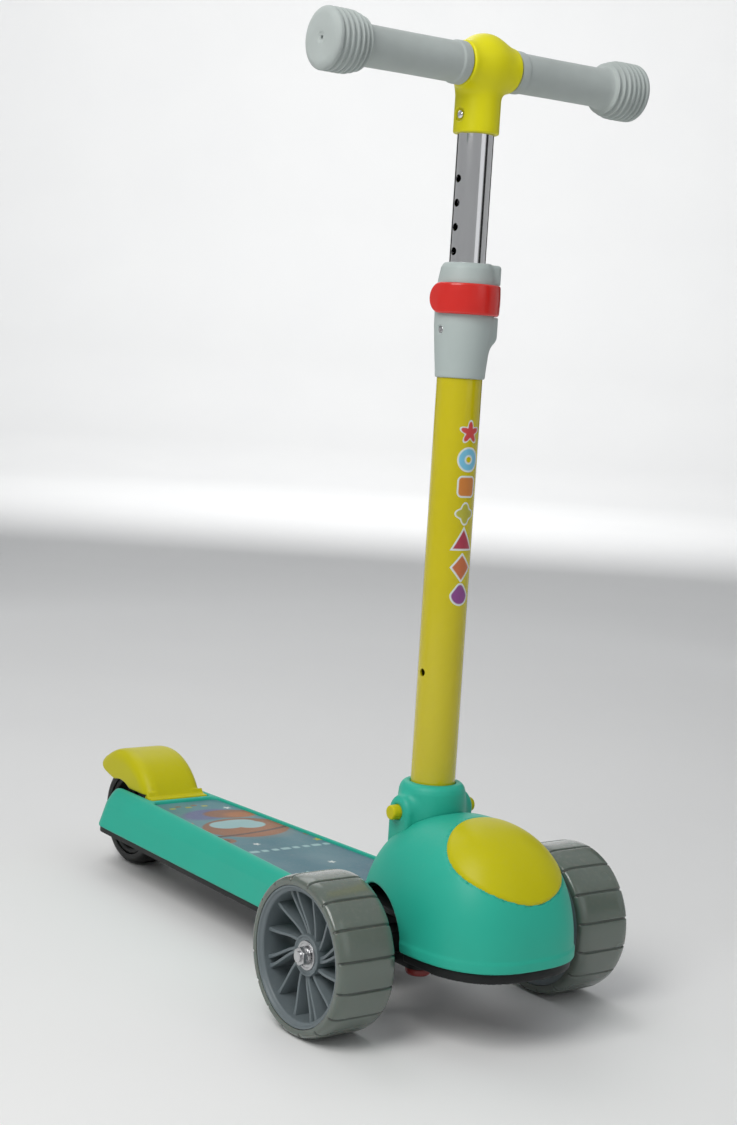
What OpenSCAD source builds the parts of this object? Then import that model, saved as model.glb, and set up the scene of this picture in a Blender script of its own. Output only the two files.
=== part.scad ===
// Three-wheeled kick scooter for a child: two wide front wheels on a beam that
// turns when the rider leans, one rear wheel with a foot brake, and a T bar
// whose height is set with a lever clamp.
// +X is forward, +Y is the rider's left, +Z is up, z = 0 is the floor.

/* [Overall] */
// Distance from the rear axle to the front axle
wheel_base = 470; // [420:5:570]
// How far the nose cover reaches ahead of the front axle
nose_reach = 110; // [100:1:132]
// Distance from the front axle back to the face of the stem tube
stem_setback = 9; // [7:0.5:12]
// Distance from the stem tube back to the front end of the deck
deck_setback = 12; // [11:0.5:16]

/* [Front wheels] */
// Diameter of a front wheel over its tyre
front_wheel_d = 120; // [100:1:144]
// Width of a front wheel
front_wheel_w = 50; // [42:1:60]
// Distance between the inner faces of the two front wheels
front_gap_w = 179; // [170:1:215]
// Thickness of a front tyre over its rim
front_tyre_t = 7.5; // [6:0.5:9]
// How far the hub sits inside the outer face of the rim
hub_inset = 10; // [8:0.5:12]
// Spokes in a front wheel before every third one is doubled
spoke_count = 12; // [6:3:15]
// Thickness of one spoke
spoke_t = 2.2; // [1.8:0.1:2.6]
// Grooves across the tread of a front tyre
tread_count = 16; // [12:1:20]
// Depth of a tread groove
tread_depth = 1.2; // [0.8:0.1:1.5]

/* [Rear wheel] */
// Diameter of the rear wheel over its tyre
rear_wheel_d = 95; // [80:1:114]
// Width of the rear wheel
rear_wheel_w = 38; // [32:1:45]
// Thickness of the rear tyre over its hub
rear_tyre_t = 9.5; // [8:0.5:11]

/* [Axles and bearings] */
// Diameter of both axles
axle_d = 8; // [6.8:0.2:9.6]
// Outer diameter of a wheel bearing
bearing_d = 22; // [19:0.5:26]
// Width of a wheel bearing
bearing_w = 7; // [6:0.5:8]
// Outer diameter of the spacer tubes on the axles
spacer_d = 12; // [11:0.5:14]

/* [Deck] */
// Height of the top of the deck
deck_top_z = 77; // [74:1:84]
// Height of the lower edge of the deck moulding
deck_bottom_z = 42; // [38:1:44]
// Width of the deck top at its rear end
deck_top_rear_w = 78; // [70:1:94]
// Width of the deck top at its front end
deck_top_front_w = 118; // [100:1:128]
// Width of the deck foot at its rear end
deck_foot_rear_w = 112; // [106:1:124]
// Width of the deck foot at its front end
deck_foot_front_w = 127; // [118:1:140]
// How far the deck reaches behind the rear axle
deck_tail = 10; // [8:1:14]
// Corner radius of the deck in plan
deck_corner_r = 22; // [18:1:26]
// Wall of the deck moulding
deck_wall = 3.5; // [3:0.1:4.2]
// Depth of the recess that holds the mat
recess_depth = 4; // [3:0.5:5]
// Thickness of the printed mat
mat_t = 1.5; // [1.2:0.1:2]
// Border of deck left around the mat
mat_border = 6; // [5:0.5:8]
// Thickness of the cover under the deck
cover_t = 5; // [4:0.5:6]

/* [Nose] */
// Half width of the nose cover
nose_half_w = 66; // [60:1:74]
// How far the nose cover laps over the front end of the deck
nose_lap = 7.5; // [6:0.5:12]
// Distance from the front axle forward to the widest place
nose_centre_dx = 30; // [26:1:36]
// Height of the nose cover from its rim to its crown
nose_h = 95; // [85:1:105]
// Wall of the nose cover
nose_wall = 3; // [2.5:0.1:3.4]
// Radius of the arch cut in each side of the nose cover
arch_r = 42; // [40:1:46]
// Depth of the black base that shows under the nose cover
base_rim_h = 8; // [7:1:12]
// Length of the oval badge, measured down the slope
badge_len = 86; // [70:1:92]
// Width of the oval badge
badge_w = 88; // [70:1:94]

/* [Steering] */
// Angle of the kingpin above the horizontal, its top leaning forward
kingpin_angle = 60; // [55:1:68]
// Diameter of the kingpin bolt
kingpin_d = 10; // [8:0.5:12]
// Depth of the axle beam, front to back
beam_w = 20; // [18:1:22]
// Height of the axle beam
beam_h = 22; // [20:1:24]
// Diameter of a steering bumper
bumper_d = 20; // [18:1:22]

/* [Stem] */
// Outer diameter of the painted stem tube
stem_tube_d = 35; // [30:0.5:42]
// Wall of the stem tube
stem_tube_wall = 1.5; // [1.2:0.1:2]
// Height of the top of the stem tube
stem_tube_top_z = 560; // [500:5:620]
// Outer diameter of the chromed inner tube
inner_tube_d = 28; // [24:0.5:30]
// Wall of the inner tube
inner_tube_wall = 1.5; // [1.2:0.1:2]
// Height of the lower end of the inner tube
inner_tube_bottom_z = 335; // [300:5:360]
// Height of the top of the socket that holds the stem
socket_top_z = 175; // [168:1:182]
// Height of the two release buttons
button_z = 153; // [150:1:156]
// Diameter of a release button
button_d = 11.6; // [10:0.2:13]
// How far a release button stands out from the stem tube
button_proud = 22.5; // [21.5:0.5:24.5]
// How far a release button travels inwards
button_travel = 4.2; // [3.8:0.1:4.4]
// Diameter of a catch pin
catch_pin_d = 8; // [7:0.2:9]

/* [Height clamp] */
// Height of the lower end of the clamp
clamp_bottom_z = 487; // [440:1:540]
// Height of the upper end of the clamp
clamp_top_z = 574; // [568:1:640]
// Wall of the clamp over the stem tube
clamp_wall = 4.9; // [4:0.1:6]
// Height of the lower edge of the lever
lever_z = 535; // [500:1:600]
// Height of the lever band
lever_h = 23.4; // [20:0.2:26]
// Thickness of the lever band
lever_t = 3.5; // [3:0.1:4]
// Diameter of the lever's hinge pin
lever_pin_d = 4; // [3.4:0.1:4.8]

/* [Handlebar] */
// Height of the axis of the handlebar
bar_z = 719; // [690:1:780]
// How far the handlebar sits ahead of the stem axis
bar_dx = 7; // [0:0.5:8]
// Overall length of the handlebar over its grips
bar_len = 300; // [250:2:360]
// Diameter of the crossbar tube
crossbar_d = 22; // [19:0.5:25.4]
// Diameter of a grip
grip_d = 30; // [27:0.5:36]
// Diameter of the ribbed end of a grip
grip_end_d = 45; // [40:0.5:54]
// Length of the ribbed end of a grip
grip_end_len = 34; // [30:1:42]
// Ribs on the end of a grip
grip_ribs = 6; // [4:1:7]
// Radius of the round head of the T joint
t_head_r = 22.3; // [20:0.1:26]
// Half length of the T joint along the handlebar
t_half_w = 23.5; // [22:0.5:28]
// Height of the lower end of the T joint
t_bottom_z = 670; // [640:1:730]

/* [Brake] */
// Distance from the rear tyre out to the mudguard's outer face
guard_gap = 16.5; // [16:0.5:19]
// Width of the mudguard
guard_w = 60; // [54:1:70]
// Wall of the mudguard
guard_wall = 3.5; // [3:0.1:4]
// Diameter of the brake's hinge pin
brake_pin_d = 5; // [4.2:0.2:6]
// Gap between the brake pad and the tyre
pad_gap = 3.5; // [3:0.1:4.2]

/* [Hidden] */

$fn = 64;
// Running clearance on the radius of a shaft in its hole
run = 0.05;
// Gap between faces that move past each other
gap = 0.3;
// Overlap that makes a cut pass cleanly through a face
cut = 1;
// Facets of the rounded corners inside a hull
hull_fn = 32;
// Shanks and heads of the small screws
screw_d = 3.4;
screw_head_d = 7;
screw_head_h = 2.5;
// Left side, then right side
sides = [1, -1];

// Axle places
front_z = front_wheel_d / 2;
rear_z = rear_wheel_d / 2;
front_x = (rear_z + wheel_base - nose_reach) / 2;
rear_x = front_x - wheel_base;
stem_x = front_x - stem_setback - stem_tube_d / 2;
deck_front_x = stem_x - stem_tube_d / 2 - deck_setback;
deck_rear_x = rear_x - deck_tail;

// Points on a superellipse with its widest place at x = 0
function power(v, e) = sign(v) * pow(abs(v), e);
function nose_ring(front, rear, half_w, scale_by, z, steps, e) = [for (i = [0 : steps - 1])
    let (a = 360 * i / steps, cx = power(cos(a), 2 / e), cy = power(sin(a), 2 / e))
    [scale_by * cx * (cx > 0 ? front : rear), scale_by * cy * half_w, z]];
function flat(points) = [for (p = points) [p[0], p[1]]];

// ---------------------------------------------------------------- deck
slot_clear = 1.2;
guard_r = rear_z + guard_gap;
slot_half = guard_w / 2 + slot_clear;
brake_pin_x = rear_x + guard_r - 5.5;
brake_pin_z = deck_top_z - 9;
guard_hub_r = brake_pin_d / 2 + 3.5;
slot_front_x = brake_pin_x + guard_hub_r + slot_clear;
recess_rear_x = slot_front_x + 6;
bevel = 2.5;

// One level of the deck's outline: rounded at both ends
module deck_level(z, h, rear_in, rear_w, front_w, inset) {
    r = deck_corner_r - inset;
    for (s = sides) {
        translate([deck_rear_x + rear_in + deck_corner_r, s * (rear_w / 2 - deck_corner_r), z])
            cylinder(r = r, h = h, $fn = hull_fn);
        translate([deck_front_x - deck_corner_r, s * (front_w / 2 - deck_corner_r), z])
            cylinder(r = r, h = h, $fn = hull_fn);
    }
}

// Width of the deck part way up its sloping sides
function level_w(foot_w, top_w, share) = foot_w + (top_w - foot_w) * share;

module deck_form(inset, bottom, top) {
    hull() {
        deck_level(bottom, cut / 2, 3, deck_foot_rear_w, deck_foot_front_w, inset);
        deck_level(deck_bottom_z + (deck_top_z - deck_bottom_z) * 0.6, cut / 2, 0,
            level_w(deck_foot_rear_w, deck_top_rear_w, 0.6) + 2,
            level_w(deck_foot_front_w, deck_top_front_w, 0.6) + 2, inset);
        deck_level(top - bevel - cut / 2, cut / 2, 6, deck_top_rear_w, deck_top_front_w, inset);
        deck_level(top - cut / 2, cut / 2, 8, deck_top_rear_w - bevel, deck_top_front_w - bevel,
            inset + bevel / 2);
    }
}

module recess_outline(clear, front_over) {
    r = 8;
    rear_half = deck_top_rear_w / 2 + 1.5 - mat_border;
    front_half = deck_top_front_w / 2 - mat_border;
    offset(r = -clear) polygon([
        [recess_rear_x + r, -rear_half], [recess_rear_x, r - rear_half],
        [recess_rear_x, rear_half - r], [recess_rear_x + r, rear_half],
        [deck_front_x + front_over, front_half], [deck_front_x + front_over, -front_half]]);
}

// Screw posts stand along both sides of the deck's hollow
post_r = 4.5;
post_top_z = deck_top_z - recess_depth - deck_wall;
tongue_len = 50;
post_front_x = deck_front_x - tongue_len - 12;
post_rear_x = slot_front_x + 16;
post_half = deck_top_rear_w / 2 - 1;
post_rows = 4;
post_xs = [for (i = [0 : post_rows - 1])
    post_rear_x + (post_front_x - post_rear_x) * i / (post_rows - 1)];

module at_posts() {
    for (x = post_xs, s = sides) translate([x, s * post_half, 0]) children();
}

// Pockets in the cheeks for the head and the nut of the rear axle
pocket_wall = 5;
pocket_half = slot_half + pocket_wall;
pocket_depth = 8.3;
pocket_w = 17;

module axle_pockets() {
    for (s = sides)
        translate([rear_x - pocket_w / 2, s > 0 ? pocket_half : -pocket_half - pocket_depth,
            rear_z - pocket_w / 2])
            cube([pocket_w, pocket_depth, pocket_w]);
}

module deck_shell() {
    color([0.18, 0.66, 0.57]) union() {
        difference() {
            deck_form(0, deck_bottom_z, deck_top_z);
            difference() {
                deck_form(deck_wall, deck_bottom_z - cut, post_top_z);
                translate([deck_rear_x - cut, -deck_foot_front_w, 0])
                    cube([slot_front_x + 5 - deck_rear_x + cut, 2 * deck_foot_front_w, deck_top_z]);
            }
            translate([0, 0, deck_top_z - recess_depth])
                linear_extrude(recess_depth + cut) recess_outline(0, cut);
            translate([deck_rear_x - cut, -slot_half, deck_bottom_z - cut])
                cube([slot_front_x - deck_rear_x + cut, 2 * slot_half,
                    deck_top_z - deck_bottom_z + 2 * cut]);
            axle_pockets();
            translate([rear_x, 0, rear_z]) rotate([90, 0, 0])
                cylinder(d = axle_d, h = 2 * pocket_half + cut, center = true);
            translate([brake_pin_x, 0, brake_pin_z]) rotate([90, 0, 0])
                cylinder(d = brake_pin_d, h = 2 * (slot_half + brake_pin_seat), center = true);
            translate([deck_front_x - tongue_len, -tongue_half, deck_bottom_z - cut])
                cube([tongue_len + cut, 2 * tongue_half, post_top_z - deck_bottom_z + cut]);
        }
        difference() {
            translate([0, 0, deck_bottom_z]) at_posts()
                cylinder(r = post_r, h = post_top_z - deck_bottom_z + cut);
            translate([0, 0, deck_bottom_z - cut]) at_posts()
                cylinder(d = screw_d, h = screw_len - cover_t + 2 * cut);
        }
    }
}

mat_clear = 0.3;

module deck_mat() {
    color([0.38, 0.56, 0.68]) translate([0, 0, deck_top_z - recess_depth])
        linear_extrude(mat_t) recess_outline(mat_clear, 0);
}

// Cover that closes the deck from below
cover_inset = 2;
cover_z = deck_bottom_z - cover_t;
screw_len = 20;
bolt_d = 6;
bolt_head_d = 10;
bolt_head_h = 3;
tongue_half = deck_top_rear_w / 2 + 6;
frame_bolt_xs = [deck_front_x - tongue_len + 12, deck_front_x - 12];
frame_bolt_half = tongue_half - 14;
frame_bolt_len = 22;

module at_frame_bolts() {
    for (x = frame_bolt_xs, s = sides) translate([x, s * frame_bolt_half, 0]) children();
}

module deck_bottom() {
    pad_cols = 6;
    pad_gap_x = 6;
    pad_from = slot_front_x + 26;
    pad_to = deck_front_x - tongue_len - 22;
    pad_pitch = (pad_to - pad_from) / pad_cols;
    color([0.1, 0.11, 0.11]) difference() {
        hull() deck_level(cover_z, cover_t, 3, deck_foot_rear_w, deck_foot_front_w, cover_inset);
        translate([deck_rear_x - cut, -slot_half, cover_z - cut])
            cube([slot_front_x - deck_rear_x + cut, 2 * slot_half, cover_t + 2 * cut]);
        for (i = [0 : pad_cols - 1], s = sides)
            translate([pad_from + i * pad_pitch, s > 0 ? pad_gap_x / 2 : -post_half + 9 - pad_gap_x / 2,
                cover_z - cut])
                cube([pad_pitch - pad_gap_x, post_half - 9, cut + cover_t / 2.5]);
        axle_pockets();
        translate([0, 0, cover_z - cut]) {
            at_posts() cylinder(d = screw_d, h = cover_t + 2 * cut);
            at_posts() cylinder(d = screw_head_d, h = screw_head_h + cut);
            at_frame_bolts() cylinder(d = bolt_d, h = cover_t + 2 * cut);
            at_frame_bolts() cylinder(d = bolt_head_d, h = bolt_head_h + cut);
        }
    }
}

// A screw that points up, its head at z = 0
module cross_screw(d, head_d, head_h, len) {
    slot_w = head_d / 6;
    difference() {
        union() {
            cylinder(d = d, h = len);
            cylinder(d = head_d, h = head_h);
        }
        for (a = [0, 90]) rotate(a)
            translate([-head_d * 0.32, -slot_w / 2, -cut])
                cube([head_d * 0.64, slot_w, cut + head_h / 2]);
    }
}

module deck_screws() {
    color([0.6, 0.6, 0.62]) translate([0, 0, cover_z]) at_posts()
        cross_screw(screw_d, screw_head_d, screw_head_h, screw_len);
}

module frame_bolts() {
    color([0.6, 0.6, 0.62]) translate([0, 0, cover_z]) at_frame_bolts()
        cross_screw(bolt_d, bolt_head_d, bolt_head_h, frame_bolt_len);
}

// ---------------------------------------------------------------- nose
nose_x = front_x + nose_centre_dx;
nose_front_len = nose_reach - nose_centre_dx;
nose_rear_len = nose_x - deck_front_x + nose_lap;
nose_rim_z = front_z + 3;
plan_power = 2.67;
rise_power = 2.35;
nose_steps = 56;
nose_rows = 11;
plate_t = 4;
plate_top_z = nose_rim_z + 25;
plate_z = plate_top_z - plate_t;
arch_x = front_x - 12;

// The nose's smooth crown, shrunk all round by inset
module nose_form(inset) {
    rings = [for (j = [0 : nose_rows - 1])
        let (w = 90 * j / nose_rows)
        for (p = nose_ring(nose_front_len - inset, nose_rear_len - inset, nose_half_w - inset,
            pow(cos(w), 2 / rise_power), (nose_h - inset) * pow(sin(w), 2 / rise_power),
            nose_steps, plan_power)) p];
    crown = len(rings);
    faces = concat(
        [[for (i = [0 : nose_steps - 1]) i]],
        [for (j = [0 : nose_rows - 2], i = [0 : nose_steps - 1])
            let (k = (i + 1) % nose_steps, a = j * nose_steps, b = a + nose_steps)
            [a + k, a + i, b + k]],
        [for (j = [0 : nose_rows - 2], i = [0 : nose_steps - 1])
            let (k = (i + 1) % nose_steps, a = j * nose_steps, b = a + nose_steps)
            [b + k, a + i, b + i]],
        [for (i = [0 : nose_steps - 1])
            let (a = (nose_rows - 1) * nose_steps) [a + (i + 1) % nose_steps, a + i, crown]]);
    translate([nose_x, 0, nose_rim_z])
        polyhedron(points = concat(rings, [[0, 0, nose_h - inset]]), faces = faces, convexity = 4);
}

// Outline of the base, which fits inside the nose cover
module base_outline(inset) {
    translate([nose_x, 0]) polygon(flat(nose_ring(nose_front_len - inset, nose_rear_len - inset,
        nose_half_w - inset, 1, 0, nose_steps, plan_power)));
}

// Outline of the stem socket where it passes through the nose cover
socket_r = stem_tube_d / 2 + 10.5;
ear_half = 12.5;
ear_reach = stem_tube_d / 2 + 15;

module socket_outline(clear) {
    translate([stem_x, 0]) {
        circle(r = socket_r + clear);
        square([2 * (ear_half + clear), 2 * (ear_reach + clear)], center = true);
    }
}

nose_screw_spots = [for (s = sides) each [[front_x - 4, s * 47], [front_x + 72, s * 34]]];
nose_post_r = 4.5;
nose_screw_len = 18;

module at_nose_screws() {
    for (p = nose_screw_spots) translate([p[0], p[1], 0]) children();
}

module arch_cuts(r, from_y) {
    for (s = sides) translate([arch_x, s * from_y, front_z]) rotate([-90 * s, 0, 0])
        cylinder(r = r, h = nose_half_w);
}

cover_gap = 0.4;

module nose_cover() {
    color([0.18, 0.66, 0.57]) difference() {
        union() {
            difference() {
                nose_form(0);
                nose_form(nose_wall);
                translate([nose_x - nose_rear_len, -nose_half_w, nose_rim_z - cut])
                    cube([nose_reach + nose_rear_len, 2 * nose_half_w, cut]);
            }
            intersection() {
                nose_form(nose_wall / 2);
                translate([0, 0, plate_top_z]) at_nose_screws() cylinder(r = nose_post_r, h = nose_h);
            }
        }
        translate([0, 0, plate_top_z + 4]) linear_extrude(nose_h) socket_outline(cover_gap);
        translate([0, 0, plate_top_z - cut]) at_nose_screws()
            cylinder(d = screw_d, h = nose_screw_len - plate_t + cut);
        arch_cuts(arch_r, 34);
        translate([nose_x - nose_rear_len - cut, -nose_half_w, 0])
            cube([deck_front_x + bulkhead_t + cover_gap - nose_x + nose_rear_len + cut,
                2 * nose_half_w, deck_top_z]);
        spine(cover_gap);
    }
}

badge_proud = 1.2;
badge_tilt = 34;
badge_x = front_x + 67;
badge_z = front_z + 76;

module nose_badge() {
    color([0.74, 0.72, 0.12]) difference() {
        intersection() {
            nose_form(-badge_proud);
            translate([badge_x, 0, badge_z]) rotate([0, badge_tilt, 0])
                linear_extrude(nose_h, center = true)
                    scale([badge_len / badge_w, 1]) circle(d = badge_w, $fn = 48);
        }
        nose_form(0);
    }
}

module nose_screws() {
    color([0.6, 0.6, 0.62]) translate([0, 0, plate_z - screw_head_h]) at_nose_screws()
        cross_screw(screw_d, screw_head_d, screw_head_h, nose_screw_len + screw_head_h - 1);
}

// Kingpin frame: z runs along the leaning kingpin from the front axle's centre
module on_kingpin() {
    translate([front_x, 0, front_z]) rotate([0, 90 - kingpin_angle, 0]) children();
}

beam_boss_r = 15;
beam_boss_half = beam_w / 2 * cos(kingpin_angle) + beam_h / 2 * sin(kingpin_angle) + gap;
washer_t = 2;
upper_boss_r = 13;
upper_boss_from = beam_boss_half + run * 2 + washer_t;
upper_boss_to = upper_boss_from + 22.5;

// Rib that joins the deck's tongue to the plate over the axle
spine_half = 15;
spine_front_x = front_x - 25;

module spine(clear) {
    translate([deck_front_x - clear, -spine_half - clear, deck_top_z - 8])
        cube([spine_front_x - deck_front_x + 2 * clear, 2 * (spine_half + clear),
            plate_top_z - deck_top_z + 8]);
}

base_wall = 4;
base_under = 2.2;
base_fit = nose_wall + 2.6;
window_front_x = arch_x + arch_r + 1;
base_bottom_z = nose_rim_z - base_rim_h;
brake_pin_seat = 6;
bulkhead_t = 6;

module nose_base() {
    color([0.1, 0.11, 0.11]) difference() {
        union() {
            // Rim that shows under the nose cover
            difference() {
                translate([0, 0, base_bottom_z]) linear_extrude(base_rim_h) difference() {
                    base_outline(base_under);
                    base_outline(base_under + base_wall);
                }
                translate([nose_x - nose_rear_len - cut, -nose_half_w, 0])
                    cube([window_front_x - nose_x + nose_rear_len + cut, 2 * nose_half_w,
                        nose_rim_z + cut]);
            }
            // Wall from the rim up to the plate
            difference() {
                translate([0, 0, base_bottom_z]) linear_extrude(plate_top_z - base_bottom_z) difference() {
                    base_outline(base_fit);
                    base_outline(base_fit + base_wall);
                }
                translate([nose_x - nose_rear_len - cut, -nose_half_w, 0])
                    cube([window_front_x - nose_x + nose_rear_len + cut, 2 * nose_half_w,
                        plate_top_z + cut]);
            }
            // Floor that closes the front of the rim
            intersection() {
                translate([0, 0, base_bottom_z]) linear_extrude(base_wall) base_outline(base_under);
                translate([front_x + 62, -nose_half_w, 0]) cube([nose_reach, 2 * nose_half_w, nose_rim_z]);
            }
            // Plate over the axle
            intersection() {
                translate([0, 0, plate_z]) linear_extrude(plate_t) base_outline(base_fit);
                translate([deck_front_x, -nose_half_w, 0])
                    cube([front_x - deck_front_x + nose_reach, 2 * nose_half_w, plate_top_z]);
            }
            spine(0);
            // Bulkhead and the tongue that plugs into the deck
            translate([deck_front_x, -tongue_half + 12, deck_bottom_z])
                cube([bulkhead_t, 2 * (tongue_half - 12), deck_top_z - deck_bottom_z]);
            translate([deck_front_x - tongue_len, -tongue_half, deck_bottom_z])
                cube([tongue_len, 2 * tongue_half, post_top_z - deck_bottom_z]);
            on_kingpin() translate([0, 0, upper_boss_from])
                cylinder(r = upper_boss_r, h = upper_boss_to - upper_boss_from);
        }
        on_kingpin() cylinder(d = kingpin_d, h = upper_boss_to + cut);
        translate([0, 0, plate_z - cut]) at_nose_screws() cylinder(d = screw_d, h = plate_t + 2 * cut);
        translate([0, 0, plate_z - cut]) at_socket_bolts() cylinder(d = bolt_d, h = plate_t + 2 * cut);
        translate([0, 0, deck_bottom_z - cut]) at_frame_bolts()
            cylinder(d = bolt_d, h = frame_bolt_len - cover_t + cut);
    }
}

// ---------------------------------------------------------------- steering
nut_t = 8;
hex = 6;
kingpin_head_d = kingpin_d * 1.7;
kingpin_head_t = 6;
// Thread left past a nut
thread_end = 1.5;

module kingpin_bolt() {
    color([0.6, 0.6, 0.62]) on_kingpin() {
        translate([0, 0, upper_boss_to]) cylinder(d = kingpin_head_d, h = kingpin_head_t, $fn = hex);
        translate([0, 0, -kingpin_low]) cylinder(d = kingpin_d, h = kingpin_low + upper_boss_to + cut);
    }
}

kingpin_low = beam_boss_half + run * 2 + washer_t + nut_t + thread_end;

module kingpin_nut() {
    color([0.6, 0.6, 0.62]) on_kingpin()
        translate([0, 0, -kingpin_low + thread_end]) difference() {
            cylinder(d = kingpin_head_d, h = nut_t, $fn = hex);
            translate([0, 0, -cut]) cylinder(d = kingpin_d, h = nut_t + 2 * cut);
        }
}

module kingpin_washers() {
    color([0.85, 0.85, 0.82]) on_kingpin()
        for (z = [beam_boss_half + run * 2, -beam_boss_half - run * 2 - washer_t])
            translate([0, 0, z]) difference() {
                cylinder(r = upper_boss_r, h = washer_t);
                translate([0, 0, -cut]) cylinder(d = kingpin_d, h = washer_t + 2 * cut);
            }
}

// Ears ahead of the beam carry the two bumpers
ear_x = 26;
bumper_y = 44;
bumper_ear_t = 8;
bumper_ear_z = front_z - beam_h / 2 - 1;
bumper_neck_d = bumper_d * 0.7;
beam_half_len = front_gap_w / 2 - 9.5;

module axle_beam() {
    color([0.12, 0.12, 0.13]) translate([front_x, 0, 0]) difference() {
        union() {
            translate([-beam_w / 2, -beam_half_len, front_z - beam_h / 2])
                cube([beam_w, 2 * beam_half_len, beam_h]);
            translate([-front_x, 0, 0]) on_kingpin()
                cylinder(r = beam_boss_r, h = 2 * beam_boss_half, center = true);
            for (s = sides) {
                translate([ear_x, s * bumper_y, bumper_ear_z])
                    cylinder(d = bumper_d + 1, h = bumper_ear_t);
                translate([0, s * bumper_y - (bumper_d + 1) / 2, bumper_ear_z])
                    cube([ear_x, bumper_d + 1, bumper_ear_t]);
            }
        }
        translate([0, 0, front_z]) rotate([90, 0, 0])
            cylinder(d = axle_d, h = 2 * beam_half_len + 2 * cut, center = true);
        translate([-front_x, 0, 0]) on_kingpin()
            cylinder(r = kingpin_d / 2 + run, h = 4 * beam_boss_half, center = true);
        for (s = sides) translate([ear_x, s * bumper_y, bumper_ear_z - cut])
            cylinder(d = bumper_neck_d, h = bumper_ear_t + 2 * cut);
    }
}

// The kingpin crosses the axle's line, so the axle is two rods that meet the boss
axle_nut_t = 6;
axle_nut_d = 14.4;
nut_flange_r = 6.6;
nut_flange_t = 1;
axle_inner = beam_boss_r + 3;
axle_outer = front_gap_w / 2 + front_wheel_w - hub_inset + axle_nut_t + thread_end;

module front_axle() {
    color([0.6, 0.6, 0.62]) for (s = sides)
        translate([front_x, s * (axle_inner + axle_outer) / 2, front_z]) rotate([90, 0, 0])
            cylinder(d = axle_d, h = axle_outer - axle_inner, center = true);
}

wheel_in_y = front_gap_w / 2;
bearing_in_y = wheel_in_y + 3;
bearing_out_y = wheel_in_y + front_wheel_w - hub_inset - bearing_w;

module axle_spacers() {
    color([0.6, 0.6, 0.62]) for (s = sides)
        translate([front_x, s * (beam_half_len + bearing_in_y - run) / 2, front_z]) rotate([90, 0, 0])
            tube(spacer_d / 2, axle_d / 2, bearing_in_y - run - beam_half_len);
}

// A tube centred on its own axis
module tube(outer_r, inner_r, len) {
    difference() {
        cylinder(r = outer_r, h = len, center = true);
        cylinder(r = inner_r, h = len + 2 * cut, center = true);
    }
}

module axle_nuts() {
    nut_from = bearing_out_y + bearing_w + run;
    color([0.78, 0.79, 0.8]) for (s = sides)
        translate([front_x, s * nut_from, front_z]) rotate([-90 * s, 0, 0]) {
            difference() {
                union() {
                    cylinder(r = nut_flange_r, h = nut_flange_t);
                    cylinder(d = axle_nut_d, h = axle_nut_t, $fn = hex);
                }
                translate([0, 0, -cut]) cylinder(d = axle_d, h = axle_nut_t + 2 * cut);
            }
        }
}

bumper_head_h = 6;
bumper_top_z = plate_z;

module steering_bumpers() {
    color([0.6, 0.08, 0.06]) for (s = sides)
        translate([front_x + ear_x, s * bumper_y, 0]) {
            translate([0, 0, bumper_ear_z - bumper_head_h]) cylinder(d = bumper_d, h = bumper_head_h);
            translate([0, 0, bumper_ear_z - cut]) cylinder(d = bumper_neck_d, h = bumper_ear_t + 2 * cut);
            translate([0, 0, bumper_ear_z + bumper_ear_t])
                cylinder(d = bumper_d, h = bumper_top_z - bumper_ear_z - bumper_ear_t);
        }
}

// ---------------------------------------------------------------- front wheels
rim_r = front_wheel_d / 2 - front_tyre_t;
rim_wall = 5;
hub_r = bearing_d / 2 + 4.5;

// Wheel frame: z runs outwards from the wheel's inner face
module on_wheel(s) {
    translate([front_x, s * wheel_in_y, front_z]) rotate([-90 * s, 0, 0]) children();
}

// One curved spoke, standing in the wheel's outer half
spoke_from_z = 16;
spoke_bend = 14;
spoke_bits = 6;

module spoke() {
    inner = hub_r - 1;
    outer = rim_r - rim_wall + 1;
    line = [for (i = [0 : spoke_bits])
        let (t = i / spoke_bits, r = inner + (outer - inner) * t, a = spoke_bend * t * (2 - t))
        [r * cos(a), r * sin(a)]];
    side = [for (i = [0 : spoke_bits])
        let (t = i / spoke_bits, r = inner + (outer - inner) * t, a = spoke_bend * t * (2 - t),
            w = spoke_t / r * 180 / PI)
        [r * cos(a + w), r * sin(a + w)]];
    polygon(concat(line, [for (i = [spoke_bits : -1 : 0]) side[i]]));
}

double_by = 8.5;
spoke_angles = [for (i = [0 : spoke_count - 1]) each
    (i % 3 == 0 ? [i * 360 / spoke_count - double_by / 2, i * 360 / spoke_count + double_by / 2]
        : [i * 360 / spoke_count])];

module front_hub(s) {
    hub_out = front_wheel_w - hub_inset;
    color([0.42, 0.45, 0.48]) on_wheel(s) difference() {
        union() {
            translate([0, 0, front_wheel_w / 2]) tube(rim_r, rim_r - rim_wall, front_wheel_w - 2);
            translate([0, 0, 2]) cylinder(r = hub_r, h = hub_out - 2);
            translate([0, 0, spoke_from_z]) linear_extrude(front_wheel_w - 7 - spoke_from_z)
                for (a = spoke_angles) rotate(a) spoke();
        }
        translate([0, 0, hub_out - bearing_w]) cylinder(d = bearing_d, h = front_wheel_w);
        translate([0, 0, -cut]) cylinder(d = bearing_d, h = bearing_in_y - wheel_in_y + bearing_w + cut);
        cylinder(r = spacer_d / 2 + 1.5, h = front_wheel_w);
    }
}

tyre_round = 8;

// Half profile of a tyre: radius across, width along
module tyre_profile(outer, inner, w, round_r) {
    intersection() {
        hull() for (z = [round_r, w - round_r], r = [inner, outer - round_r])
            translate([r, z]) circle(r = round_r);
        translate([inner, 0]) square([outer - inner, w]);
    }
}

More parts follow.
